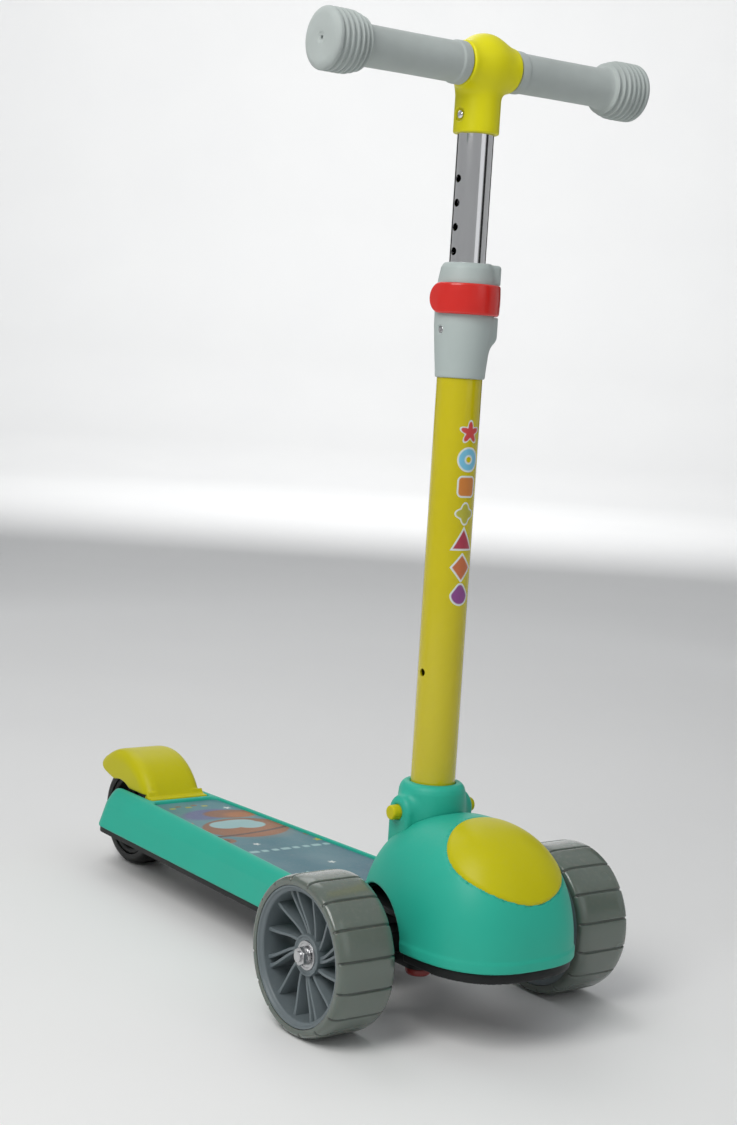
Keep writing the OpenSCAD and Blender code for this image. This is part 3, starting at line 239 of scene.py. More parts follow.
def settle(solid: Field, p: Array, reach: float, rounds: int) -> Array:
    """Moves points onto the surface of a field.

    Args:
        solid: The field.
        p: Points close to its surface.
        reach: Longest step in one round.
        rounds: How many rounds.

    Returns:
        The moved points.
    """
    for _ in range(rounds):
        g = gradient(solid, p)
        size = np.maximum((g * g).sum(1), 0.05)
        step = g * (solid(*p.T) / size)[:, None]
        long = np.maximum(np.linalg.norm(step, axis=1) / reach, 1.0)
        p = p - step / long[:, None]
    return p


def skin(solid: Field, low: Sequence[float], high: Sequence[float],
         cell: Sequence[float]) -> tuple[Array, Array]:
    """Wraps a field in an even net of quads that lies on its surface.

    Args:
        solid: The field, negative inside.
        low: Lowest corner of the space that holds it.
        high: Highest corner of that space.
        cell: Size of the net along each axis.

    Returns:
        The net's points and its faces of four points each.
    """
    lo, step = np.array(low, float), np.array(cell, float)
    n = np.ceil((np.array(high, float) - lo) / step).astype(int) + 1
    axes = [lo[k] + step[k] * np.arange(n[k]) for k in range(3)]
    gx, gy, gz = np.meshgrid(*axes, indexing="ij")
    values = solid(gx.ravel(), gy.ravel(), gz.ravel()).reshape(n)
    values[values == 0] = 1e-9
    inside = values < 0
    count = sum(inside[c[0]:n[0] - 1 + c[0], c[1]:n[1] - 1 + c[1], c[2]:n[2] - 1 + c[2]].astype(np.int8)
                for c in CORNERS)
    active = (count > 0) & (count < 8)
    index = np.full(active.shape, -1)
    index[active] = np.arange(active.sum())
    cells = np.argwhere(active)
    v = np.stack([values[tuple((cells + c).T)] for c in CORNERS], 1)
    total, hits = np.zeros((len(cells), 3)), np.zeros(len(cells))
    for a, b in EDGES:
        cross = (v[:, a] < 0) != (v[:, b] < 0)
        t = v[cross, a] / (v[cross, a] - v[cross, b])
        total[cross] += CORNERS[a] + (CORNERS[b] - CORNERS[a]) * t[:, None]
        hits[cross] += 1
    points = lo + step * (cells + total / hits[:, None])
    faces = []
    for k in range(3):
        u, w = (k + 1) % 3, (k + 2) % 3
        first = inside[tuple(slice(0, -1) if i == k else slice(None) for i in range(3))]
        last = inside[tuple(slice(1, None) if i == k else slice(None) for i in range(3))]
        spots = np.argwhere(first != last)
        ok = np.all([(spots[:, i] > 0) & (spots[:, i] < n[i] - 1) for i in (u, w)], axis=0)
        spots = spots[ok]
        ring = []
        for du, dw in ((-1, -1), (0, -1), (0, 0), (-1, 0)):
            c = spots.copy()
            c[:, u] += du
            c[:, w] += dw
            ring.append(index[tuple(c.T)])
        quad = np.stack(ring, 1)
        turned = ~first[tuple(spots.T)]
        quad[turned] = quad[turned][:, ::-1]
        faces.append(quad)
    quads = np.concatenate(faces)
    reach = 0.4 * float(step.min())
    points = settle(solid, points, reach, 2)
    pairs = np.concatenate([quads[:, [0, 1]], quads[:, [1, 2]], quads[:, [2, 3]], quads[:, [3, 0]]])
    for _ in range(2):
        around, many = np.zeros_like(points), np.zeros(len(points))
        for k in range(3):
            around[:, k] = np.bincount(pairs[:, 0], points[pairs[:, 1], k], len(points))
        many = np.bincount(pairs[:, 0], minlength=len(points))
        points = settle(solid, points * 0.5 + 0.5 * around / many[:, None], reach, 1)
    return settle(solid, points, reach, 1), quads


# ------------------------------------------------------------------ meshes


def make(name: str, verts: Array, faces: Sequence[Sequence[int]], finish: bpy.types.Material,
         sharp: float | None = None, outward: bool = False) -> Piece:
    """Makes an object whose mesh holds its place.

    Args:
        name: Name of the piece.
        verts: Its points in millimetres.
        faces: Its faces as rows of point numbers.
        finish: Its material.
        sharp: Angle in degrees past which an edge stays sharp, or None for none.
        outward: Whether the faces still have to be turned outwards.

    Returns:
        The new object, in the scene.
    """
    mesh = bpy.data.meshes.new(name)
    mesh.from_pydata(np.asarray(verts, float) * MM, [], [list(map(int, f)) for f in faces])
    if outward:
        bm = bmesh.new()
        bm.from_mesh(mesh)
        bmesh.ops.remove_doubles(bm, verts=bm.verts, dist=1e-7)
        bmesh.ops.recalc_face_normals(bm, faces=bm.faces)
        bm.to_mesh(mesh)
        bm.free()
    mesh.validate()
    smooth(mesh, sharp)
    mesh.materials.append(finish)
    obj = bpy.data.objects.new(name, mesh)
    bpy.context.scene.collection.objects.link(obj)
    return obj


def smooth(mesh: bpy.types.Mesh, sharp: float | None) -> None:
    """Shades a mesh smoothly, with edges past an angle in degrees kept sharp.

    Args:
        mesh: The mesh.
        sharp: The angle, or None for no sharp edge.
    """
    mesh.polygons.foreach_set("use_smooth", [True] * len(mesh.polygons))
    if sharp is not None:
        mesh.set_sharp_from_angle(angle=math.radians(sharp))
    mesh.update()


def ride(obj: Piece, body: Body,
         nodes: Sequence[str] = ()) -> Piece:
    """Fixes a finished piece to its body and hides the CAD nodes that it stands for.

    Args:
        obj: The piece.
        body: The body that it moves with.
        nodes: The CAD nodes that it stands for.

    Returns:
        The same piece.
    """
    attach(obj, body.value)
    if nodes:
        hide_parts(*nodes)
    log.info("%s: %d faces on %s", obj.name, len(obj.data.polygons), body.value)
    return obj


def rounded(corners: Sequence[tuple[float, float, float]], closed: bool, bits: int = 5) -> list[tuple[float, float]]:
    """Rounds the corners of an outline.

    Args:
        corners: Rows of first coordinate, second coordinate and rounding.
        closed: Whether the last corner joins the first.
        bits: Pieces in each rounding.

    Returns:
        The outline's points.
    """
    out: list[tuple[float, float]] = []
    n = len(corners)
    for i, (x, y, r) in enumerate(corners):
        here = Vector((x, y))
        if r <= 0 or (not closed and i in (0, n - 1)):
            out.append((x, y))
            continue
        back, ahead = Vector(corners[i - 1][:2]) - here, Vector(corners[(i + 1) % n][:2]) - here
        a = here + back.normalized() * min(r, back.length * 0.49)
        b = here + ahead.normalized() * min(r, ahead.length * 0.49)
        for k in range(bits + 1):
            t = k / bits
            p = a * (1 - t) ** 2 + here * 2 * t * (1 - t) + b * t * t
            out.append((p.x, p.y))
    return out


def lathe(outline: Sequence[tuple[float, float]], closed: bool, turns: int = 96) -> Shell:
    """Turns an outline of radius and height about the Z axis.

    Args:
        outline: Points of radius and height.
        closed: Whether the outline is a loop, as a ring's is.
        turns: Facets round the axis.

    Returns:
        The points and faces.
    """
    verts: list[Point] = []
    rows: list[list[int]] = []
    for r, z in outline:
        if r < 1e-6:
            verts.append((0.0, 0.0, z))
            rows.append([len(verts) - 1] * turns)
            continue
        start = len(verts)
        for i in range(turns):
            a = 2 * math.pi * i / turns
            verts.append((r * math.cos(a), r * math.sin(a), z))
        rows.append(list(range(start, start + turns)))
    faces: list[list[int]] = []
    for j in range(len(rows) if closed else len(rows) - 1):
        a, b = rows[j], rows[(j + 1) % len(rows)]
        for i in range(turns):
            k = (i + 1) % turns
            loop = [a[i], a[k], b[k], b[i]]
            keep = [p for n, p in enumerate(loop) if p != loop[n - 1]]
            if len(keep) > 2:
                faces.append(keep)
    return np.array(verts), faces


def stand(verts: Array, place: Point) -> Array:
    """Moves points made about the Z axis to a place."""
    return np.asarray(verts) + np.array(place)


def lay(verts: Array, place: Point, side: Side) -> Array:
    """Lays points made about the Z axis along Y, their top facing outwards.

    Args:
        verts: The points.
        place: Where their origin goes.
        side: The side that their top faces.

    Returns:
        The moved points.
    """
    v = np.asarray(verts)
    return np.stack([v[:, 0] + place[0], v[:, 2] * side.value + place[1], v[:, 1] + place[2]], 1)


def drill(obj: Piece, holes: Sequence[tuple[Point, Vector, float, float]]) -> None:
    """Cuts round holes through a piece.

    Args:
        obj: The piece.
        holes: Rows of centre, direction, radius and length, in millimetres.
    """
    for centre, way, radius, length in holes:
        verts, faces = lathe([(0, -length / 2), (radius, -length / 2), (radius, length / 2), (0, length / 2)],
                             False, 40)
        turn = way.to_track_quat("Z", "Y").to_matrix()
        tool = make("hole", np.array([turn @ Vector(v) for v in verts]) + np.array(centre), faces,
                    obj.data.materials[0], outward=True)
        cut = obj.modifiers.new("hole", "BOOLEAN")
        cut.operation, cut.solver, cut.object = "DIFFERENCE", "EXACT", tool
        bake(obj)
        bpy.data.objects.remove(tool)


def bake(obj: Piece) -> Piece:
    """Replaces a piece's mesh with what its modifiers make of it, and removes them.

    Args:
        obj: The piece.

    Returns:
        The same piece.
    """
    deps = bpy.context.evaluated_depsgraph_get()
    mesh = bpy.data.meshes.new_from_object(obj.evaluated_get(deps), preserve_all_data_layers=True,
                                           depsgraph=deps)
    obj.modifiers.clear()
    obj.data = mesh
    mesh.name = obj.name
    return obj


def merge(name: str, parts: Sequence[Shell]) -> Shell:
    """Puts several meshes into one list of points and faces.

    Args:
        name: Name for the log.
        parts: Points and faces of each mesh.

    Returns:
        The joined points and faces.
    """
    verts: list[Array] = []
    faces: list[list[int]] = []
    start = 0
    for v, f in parts:
        verts.append(np.asarray(v))
        faces.extend([[int(i) + start for i in row] for row in f])
        start += len(v)
    log.debug("%s joins %d shells", name, len(parts))
    return np.concatenate(verts), faces


def dye(obj: Piece, name: str, colours: Array) -> None:
    """Stores a colour for each point of a mesh.

    Args:
        obj: The piece.
        name: Name of the layer.
        colours: One row a point, with three or four columns.
    """
    layer = obj.data.color_attributes.new(name=name, type="FLOAT_COLOR", domain="POINT")
    full = np.ones((len(obj.data.vertices), 4), np.float32)
    full[:, : colours.shape[1]] = colours
    layer.data.foreach_set("color", full.ravel())


# ------------------------------------------------------------------ shader groups


class Wiring:
    """A node tree with short calls for adding and joining nodes."""

    def __init__(self, tree: Tree) -> None:
        """Keeps the tree."""
        self.tree = tree

    def add(self, kind: str, values: dict[str | int, object] | None = None, **settings: object) -> Node:
        """Adds a node.

        Args:
            kind: Blender's name of the node type.
            values: Values of its inputs, by name or number. A socket given here is linked.
            **settings: The node's own properties.

        Returns:
            The node.
        """
        node = self.tree.nodes.new(kind)
        for key, value in settings.items():
            setattr(node, key, value)
        for key, value in (values or {}).items():
            if isinstance(value, Socket):
                self.tree.links.new(value, node.inputs[key])
            else:
                node.inputs[key].default_value = value
        return node

    def math(self, operation: str, a: object, b: object = 0.0, c: object = 0.0) -> Socket:
        """Adds a math node and returns its result."""
        return self.add("ShaderNodeMath", {0: a, 1: b, 2: c}, operation=operation).outputs[0]

    def noise(self, where: object, scale: object, detail: float, rough: float = 0.5) -> Socket:
        """Adds a noise texture and returns its value."""
        return self.add("ShaderNodeTexNoise", {"Vector": where, "Scale": scale, "Detail": detail,
                                               "Roughness": rough}).outputs["Fac"]

    def ramp(self, value: object, low: float, high: float, start: float = 0.0,
             end: float = 1.0) -> Socket:
        """Adds a clamped remap of a value and returns its result."""
        return self.add("ShaderNodeMapRange", {"Value": value, "From Min": low, "From Max": high,
                                               "To Min": start, "To Max": end}).outputs[0]

    def mix(self, share: object, a: object, b: object) -> Socket:
        """Adds a mix of two colours and returns its result.

        Args:
            a, b: The two colours, or sockets that give them.
            share: How much of the second colour.

        Returns:
            The mixed colour's socket.
        """
        node = self.add("ShaderNodeMix", {0: share}, data_type="RGBA")
        for socket, value in ((node.inputs[6], a), (node.inputs[7], b)):
            if isinstance(value, Socket):
                self.tree.links.new(value, socket)
            else:
                socket.default_value = value
        return node.outputs[2]


def group(name: str, inputs: dict[str, float],
          outputs: Sequence[str]) -> tuple[Wiring, Node, Node]:
    """Starts a shader node group.

    Args:
        name: The group's name.
        inputs: Names and usual values of its inputs.
        outputs: Names of its outputs.

    Returns:
        The wiring, the group's input node and its output node.
    """
    tree = bpy.data.node_groups.new(name, "ShaderNodeTree")
    for key, value in inputs.items():
        tree.interface.new_socket(key, in_out="INPUT", socket_type="NodeSocketFloat").default_value = value
    for key in outputs:
        tree.interface.new_socket(key, in_out="OUTPUT", socket_type="NodeSocketFloat")
    wires = Wiring(tree)
    return wires, wires.add("NodeGroupInput"), wires.add("NodeGroupOutput")


def grain_group() -> Tree:
    """Builds the fine texture that a mould or a film leaves on a surface, as a height.

    Returns:
        The group.
    """
    w, given, out = group("surface_grain", {"Grain Scale": 1500.0, "Ripple Scale": 60.0, "Ripple Share": 0.3},
                          ["Height"])
    where = w.add("ShaderNodeTexCoord").outputs["Object"]
    fine = w.noise(where, given.outputs["Grain Scale"], 2.0, 0.6)
    slow = w.noise(where, given.outputs["Ripple Scale"], 1.0)
    share = given.outputs["Ripple Share"]
    left = w.math("MULTIPLY", fine, w.math("SUBTRACT", 1.0, share))
    w.tree.links.new(w.math("MULTIPLY_ADD", slow, share, left), out.inputs["Height"])
    return w.tree


def wear_group() -> Tree:
    """Builds the marks of handling: soft patches, fine scratches and settled dust, as masks.

    Returns:
        The group.
    """
    w, given, out = group("handling_marks", {"Patch Scale": 14.0, "Scratch Scale": 90.0, "Seed": 0.0},
                          ["Patches", "Scratches", "Dust"])
    where = w.add("ShaderNodeTexCoord").outputs["Object"]
    moved = w.add("ShaderNodeVectorMath", {0: where, 1: w.add("ShaderNodeCombineXYZ", {
        "X": given.outputs["Seed"], "Y": given.outputs["Seed"]}).outputs[0]}, operation="ADD").outputs[0]
    w.tree.links.new(w.ramp(w.noise(moved, given.outputs["Patch Scale"], 3.0), 0.3, 0.72), out.inputs["Patches"])
    stretched = w.add("ShaderNodeMapping", {"Vector": moved, "Rotation": (0.3, 0.5, 0.9),
                                            "Scale": (1.0, 0.06, 1.0)}).outputs[0]
    lines = w.noise(stretched, given.outputs["Scratch Scale"], 6.0, 0.75)
    some = w.ramp(w.noise(moved, 30.0, 2.0), 0.52, 0.66)
    w.tree.links.new(w.math("MULTIPLY", w.ramp(lines, 0.66, 0.72), some), out.inputs["Scratches"])
    up = w.add("ShaderNodeSeparateXYZ", {0: w.add("ShaderNodeNewGeometry").outputs["Normal"]}).outputs["Z"]
    specks = w.ramp(w.noise(moved, 240.0, 4.0, 0.7), 0.5, 0.75)
    w.tree.links.new(w.math("MULTIPLY", w.ramp(up, 0.2, 1.0), specks), out.inputs["Dust"])
    return w.tree


GRAIN = grain_group()
WEAR = wear_group()


# ------------------------------------------------------------------ finishes


@dataclass(frozen=True)
class Finish:
    """A surface finish, with what a maker would state about it."""

    name: str
    colour: Colour
    rough: float = 0.42
    rough_play: float = 0.06
    tint: float = 0.07
    grain: float = 1500.0
    ripple: float = 60.0
    ripple_share: float = 0.25
    relief: float = 0.00003
    coat: float = 0.0
    metal: float = 0.0
    wear: float = 0.25
    dust: float = 0.05
    patch: float = 14.0
    seed: float = 0.0
    scatter: float = 0.0
    sheen: float = 0.0
    gloss: float = 0.5
    # printed names a colour layer on the mesh: print on the mat and the stem, painted groove shade on the tyre
    printed: str | None = None

    def base(self, w: Wiring, marks: Node) -> Socket:
        """Wires the plain colour, with its soft patches.

        Args:
            w: The material's wiring.
            marks: The node of the handling marks.

        Returns:
            The colour.
        """
        dark, light = rgba(scaled(self.colour, 1 - self.tint)), rgba(scaled(self.colour, 1 + self.tint))
        plain = w.mix(marks.outputs["Patches"], dark, light)
        if self.printed is None:
            return plain
        ink = w.add("ShaderNodeAttribute", attribute_name=self.printed)
        return w.mix(w.math("MULTIPLY", marks.outputs["Patches"], self.tint), ink.outputs["Color"],
                     rgba(scaled(self.colour, 1.3)))

    def build(self) -> bpy.types.Material:
        """Builds the material.

        Returns:
            The material.
        """
        mat = bpy.data.materials.new(self.name)
        mat.use_nodes = True
        mat.node_tree.nodes.clear()
        w = Wiring(mat.node_tree)
        marks = w.add("ShaderNodeGroup", node_tree=WEAR)
        marks.inputs["Patch Scale"].default_value = self.patch
        marks.inputs["Seed"].default_value = self.seed
        grain = w.add("ShaderNodeGroup", node_tree=GRAIN)
        grain.inputs["Grain Scale"].default_value = self.grain
        grain.inputs["Ripple Scale"].default_value = self.ripple
        grain.inputs["Ripple Share"].default_value = self.ripple_share
        worn = w.mix(w.math("MULTIPLY", marks.outputs["Scratches"], self.wear), self.base(w, marks),
                     rgba(scaled(self.colour, 1.45 if self.metal == 0 else 0.6)))
        dusty = w.mix(w.math("MULTIPLY", marks.outputs["Dust"], self.dust), worn, rgba(shade(170, 165, 155)))
        patchy = w.ramp(marks.outputs["Patches"], 0, 1, self.rough - self.rough_play, self.rough + self.rough_play)
        rough = w.math("MULTIPLY_ADD", marks.outputs["Scratches"], 0.25 * self.wear, patchy)
        bump = w.add("ShaderNodeBump", {"Strength": 1.0, "Distance": self.relief,
                                        "Height": grain.outputs["Height"]})
        shader = w.add("ShaderNodeBsdfPrincipled", {
            "Base Color": dusty, "Roughness": rough, "Metallic": self.metal, "Normal": bump.outputs[0],
            "Coat Weight": self.coat, "Coat Roughness": 0.08, "Specular IOR Level": self.gloss,
            "Subsurface Weight": self.scatter, "Subsurface Scale": 0.004, "Sheen Weight": self.sheen})
        w.add("ShaderNodeOutputMaterial", {"Surface": shader.outputs[0]})
        return mat


class Ink(Enum):
    """The print's colours."""

    SKY = shade(70, 126, 134)
    DEEP = shade(60, 98, 118)
    PALE = shade(150, 186, 188)
    BROWN = shade(134, 90, 62)
    DARK_BROWN = shade(94, 66, 54)
    PURPLE = shade(96, 94, 140)
    ORANGE = shade(200, 120, 40)
    YELLOW = shade(176, 172, 40)
    WHITE = shade(215, 222, 218)
    RED = shade(200, 40, 40)
    LIGHT_BLUE = shade(110, 185, 215)
    CRIMSON = shade(165, 25, 60)
    RUST = shade(190, 95, 35)
    VIOLET = shade(130, 45, 130)


class Finishes:
    """Every finish of the scooter, built once."""

    def __init__(self) -> None:
        """Builds the materials."""
        made = [
            Finish("teal_moulding", shade(40, 176, 152), rough=0.46, gloss=0.35, tint=0.035, relief=0.000035, wear=0.3),
            Finish("yellow_moulding", shade(198, 191, 6), rough=0.44, gloss=0.25, tint=0.04, relief=0.00003, seed=2.0),
            # a brighter copy of yellow_moulding for the T joint: painted light, for the light that falls on it from
            # above
            Finish("yellow_joint", shade(224, 217, 14), rough=0.4, gloss=0.3, tint=0.03, relief=0.00003, seed=2.5),
            Finish("black_moulding", shade(22, 25, 25), rough=0.5, gloss=0.3, tint=0.15, relief=0.00006, dust=0.06,
                   seed=3.0),
            Finish("grey_moulding", shade(176, 187, 185), rough=0.45, gloss=0.4, tint=0.03, relief=0.00004, seed=4.0),
            Finish("red_moulding", shade(212, 34, 26), rough=0.26, tint=0.04, relief=0.000012, coat=0.35, seed=5.0),
            Finish("rim_moulding", shade(104, 114, 118), rough=0.42, tint=0.06, relief=0.00004, dust=0.12, seed=6.0),
            Finish("stem_paint", shade(198, 184, 0), rough=0.24, gloss=0.28, rough_play=0.03, tint=0.02, grain=420.0,
                   ripple=120.0, ripple_share=0.5, relief=0.000012, coat=0.7, wear=0.35, seed=7.0),
            Finish("chrome_plate", (0.78, 0.78, 0.79), rough=0.07, rough_play=0.025, tint=0.02, grain=900.0,
                   relief=0.000002, metal=1.0, wear=0.2, dust=0.02, seed=8.0),
            Finish("zinc_plate", (0.55, 0.55, 0.56), rough=0.32, rough_play=0.08, tint=0.1, grain=1800.0,
                   relief=0.00001, metal=1.0, wear=0.4, dust=0.08, patch=120.0, seed=9.0),
            Finish("spring_wire", (0.48, 0.48, 0.5), rough=0.3, tint=0.08, relief=0.000008, metal=1.0, seed=10.0),
            Finish("grip_rubber", shade(172, 180, 178), rough=0.72, tint=0.05, grain=2200.0, ripple=500.0,
                   ripple_share=0.35, relief=0.00009, wear=0.12, dust=0.14, patch=45.0, seed=11.0, sheen=0.15),
            # the tyre's colour comes from its tread layer, which holds painted shade in the grooves
            Finish("clear_urethane", shade(96, 106, 98), rough=0.22, rough_play=0.08, tint=0.16, grain=700.0,
                   ripple=90.0, ripple_share=0.6, relief=0.00003, coat=0.45, dust=0.14, patch=26.0, seed=12.0,
                   scatter=0.12, printed="tread"),
            Finish("black_urethane", shade(20, 23, 22), rough=0.42, gloss=0.3, tint=0.15, grain=900.0, relief=0.00004,
                   dust=0.2, seed=13.0),
            Finish("red_urethane", shade(120, 22, 18), rough=0.36, tint=0.1, relief=0.00003, dust=0.15, seed=14.0),
            Finish("natural_nylon", shade(205, 204, 196), rough=0.5, tint=0.04, relief=0.00003, seed=15.0),
            Finish("mat_film", Ink.SKY.value, rough=0.5, gloss=0.15, rough_play=0.07, tint=0.06, grain=2600.0,
                   ripple=240.0, relief=0.00004, coat=0.12, wear=0.5, dust=0.12, patch=30.0, seed=16.0, printed="print"),
            Finish("stem_print", Ink.WHITE.value, rough=0.32, tint=0.04, relief=0.00001, coat=0.3, seed=17.0,
                   printed="print"),
        ]
        self.by_name = {f.name: f.build() for f in made}

    def __getitem__(self, name: str) -> bpy.types.Material:
        """Returns a material by its finish's name."""
        return self.by_name[name]


# ------------------------------------------------------------------ repeated pieces


def tree_with(name: str, inputs: dict[str, tuple[str, object]]) -> tuple[Wiring, Node, Node]:
    """Starts a geometry tree with named inputs.

    Args:
        name: The tree's name.
        inputs: For each input its socket type and its usual value.

    Returns:
        The wiring, the tree's input node and its output node.
    """
    tree = bpy.data.node_groups.new(name, "GeometryNodeTree")
    tree.interface.new_socket("Geometry", in_out="INPUT", socket_type="NodeSocketGeometry")
    tree.interface.new_socket("Geometry", in_out="OUTPUT", socket_type="NodeSocketGeometry")
    for key, (kind, value) in inputs.items():
        socket = tree.interface.new_socket(key, in_out="INPUT", socket_type=kind)
        if value is not None:
            socket.default_value = value
    w = Wiring(tree)
    return w, w.add("NodeGroupInput"), w.add("NodeGroupOutput")


def finish_tree(w: Wiring, given: Node, out: Node, geometry: Socket) -> None:
    """Ends a tree: instances become real, shade smoothly and take the finish.

    Args:
        w: The tree's wiring.
        given: Its group input.
        out: Its group output.
        geometry: What the tree has made so far.
    """
    real = w.add("GeometryNodeRealizeInstances", {"Geometry": geometry}).outputs[0]
    soft = w.add("GeometryNodeSetShadeSmooth", {"Geometry": real}).outputs[0]
    done = w.add("GeometryNodeSetMaterial", {"Geometry": soft, "Material": given.outputs["Finish"]}).outputs[0]
    w.tree.links.new(done, out.inputs["Geometry"])


def spoke_tree() -> Tree:
    """Builds the tree that sets one spoke round a hub, with every third one doubled.

    Returns:
        The tree.
    """
    w, given, out = tree_with("spokes_round_hub", {
        "Spokes": ("NodeSocketInt", 12), "Double Every": ("NodeSocketInt", 3),
        "Double By": ("NodeSocketFloat", 0.148), "Centre": ("NodeSocketVector", (0.0, 0.0, 0.0)),
        "Finish": ("NodeSocketMaterial", None)})
    count = given.outputs["Spokes"]
    index = w.add("GeometryNodeInputIndex").outputs[0]
    place = w.math("FLOOR", w.math("DIVIDE", index, 2.0))
    twin = w.math("MODULO", index, 2.0)
    doubled = w.math("LESS_THAN", w.math("MODULO", place, given.outputs["Double Every"]), 0.5)
    shown = w.math("GREATER_THAN", w.math("ADD", doubled, w.math("SUBTRACT", 1.0, twin)), 0.5)
    turn = w.math("DIVIDE", w.math("MULTIPLY", place, 2 * math.pi), count)
    offset = w.math("MULTIPLY", w.math("MULTIPLY", doubled, w.math("SUBTRACT", twin, 0.5)),
                    given.outputs["Double By"])
    points = w.add("GeometryNodePoints", {"Count": w.math("MULTIPLY", count, 2.0)}).outputs[0]
    spin = w.add("FunctionNodeAxisAngleToRotation", {"Axis": (0.0, 1.0, 0.0), "Angle": w.math("ADD", turn, offset)})
    set_round = w.add("GeometryNodeInstanceOnPoints", {
        "Points": points, "Instance": given.outputs["Geometry"], "Selection": shown,
        "Rotation": spin.outputs[0]}).outputs[0]
    moved = w.add("GeometryNodeTransform", {"Geometry": set_round, "Translation": given.outputs["Centre"]}).outputs[0]
    finish_tree(w, given, out, moved)
    return w.tree


def spots_tree() -> Tree:
    """Builds the tree that sets one screw at each point of a layout.

    Returns:
        The tree.
    """
    w, given, out = tree_with("screws_at_spots", {
        "Screw": ("NodeSocketObject", None), "Turn": ("NodeSocketFloat", 0.4), "Seed": ("NodeSocketInt", 7),
        "Finish": ("NodeSocketMaterial", None)})
    screw = w.add("GeometryNodeObjectInfo", {"Object": given.outputs["Screw"]}).outputs["Geometry"]
    spread = w.add("FunctionNodeRandomValue", {"Seed": given.outputs["Seed"]}, data_type="FLOAT").outputs[1]
    spin = w.add("FunctionNodeAxisAngleToRotation", {
        "Axis": (0.0, 0.0, 1.0), "Angle": w.math("MULTIPLY", spread, given.outputs["Turn"])})
    placed = w.add("GeometryNodeInstanceOnPoints", {"Points": given.outputs["Geometry"], "Instance": screw,
                                                    "Rotation": spin.outputs[0]}).outputs[0]
    finish_tree(w, given, out, placed)
    return w.tree


def coil_tree() -> Tree:
    """Builds the tree that winds a round wire into a coil along Y.

    Returns:
        The tree.
    """
    w, given, out = tree_with("wound_coil", {
        "Turns": ("NodeSocketFloat", 6.0), "Coil Radius": ("NodeSocketFloat", 0.004),
        "Wire Radius": ("NodeSocketFloat", 0.0009), "Length": ("NodeSocketFloat", 0.013),
        "Centre": ("NodeSocketVector", (0.0, 0.0, 0.0)), "Finish": ("NodeSocketMaterial", None)})
    radius = given.outputs["Coil Radius"]
    line = w.add("GeometryNodeCurveSpiral", {
        "Resolution": 40, "Rotations": given.outputs["Turns"], "Start Radius": radius, "End Radius": radius,
        "Height": given.outputs["Length"]}).outputs[0]
    wire = w.add("GeometryNodeCurvePrimitiveCircle", {"Resolution": 12, "Radius": given.outputs["Wire Radius"]})
    tube = w.add("GeometryNodeCurveToMesh", {"Curve": line, "Profile Curve": wire.outputs[0], "Fill Caps": True})
    half = w.math("MULTIPLY", given.outputs["Length"], 0.5)
    shift = w.add("ShaderNodeCombineXYZ", {"Z": w.math("MULTIPLY", half, -1.0)}).outputs[0]
    centred = w.add("GeometryNodeTransform", {"Geometry": tube.outputs[0], "Translation": shift}).outputs[0]
    turned = w.add("GeometryNodeTransform", {"Geometry": centred, "Rotation": (math.pi / 2, 0.0, 0.0),
                                             "Translation": given.outputs["Centre"]}).outputs[0]
    finish_tree(w, given, out, turned)
    return w.tree


def grow(obj: Piece, tree: Tree, values: dict[str, object]) -> Piece:
    """Runs a geometry tree on a piece and keeps the result as a plain mesh.

    Args:
        obj: The piece that the tree starts from.
        tree: The tree.
        values: Values of its inputs, by name.

    Returns:
        The same piece with its new mesh.
    """
    run = obj.modifiers.new(tree.name, "NODES")
    run.node_group = tree
    names = {s.name: s.identifier for s in tree.interface.items_tree if s.in_out == "INPUT"}
    for key, value in values.items():
        run[names[key]] = value
    finish = values["Finish"]
    bake(obj)
    obj.data.materials.clear()
    obj.data.materials.append(finish)
    obj.data.polygons.foreach_set("material_index", [0] * len(obj.data.polygons))
    return obj


# ------------------------------------------------------------------ layout


def corner_pair(node: str) -> tuple[Array, Array]:
    """Returns a node's lowest and highest corners in millimetres."""
    low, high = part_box(node)
    return np.array(low) / MM, np.array(high) / MM


@dataclass(frozen=True)
class Layout:
    """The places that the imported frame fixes."""

    front_x: float
    front_z: float
    rear_x: float
    rear_z: float
    stem_x: float
    bar_x: float
    bar_z: float
    deck_front_x: float
    deck_rear_x: float
    deck_top: float
    deck_low: float
    wheel_in: float

    @classmethod
    def measured(cls) -> "Layout":
        """Reads the places from the frame's nodes.

        Returns:
            The places, in mm.
        """
        tyre, back, tube, bar, deck = (corner_pair(n) for n in (
            "front_tyre_left", "rear_tyre", "stem_tube", "crossbar", "deck_shell"))
        middle = [(a + b) / 2 for a, b in (tyre, back, tube, bar)]
        return cls(middle[0][0], middle[0][2], middle[1][0], middle[1][2], middle[2][0], middle[3][0],
                   middle[3][2], deck[1][0], deck[0][0], deck[1][2], deck[0][2], tyre[0][1])


# ------------------------------------------------------------------ deck


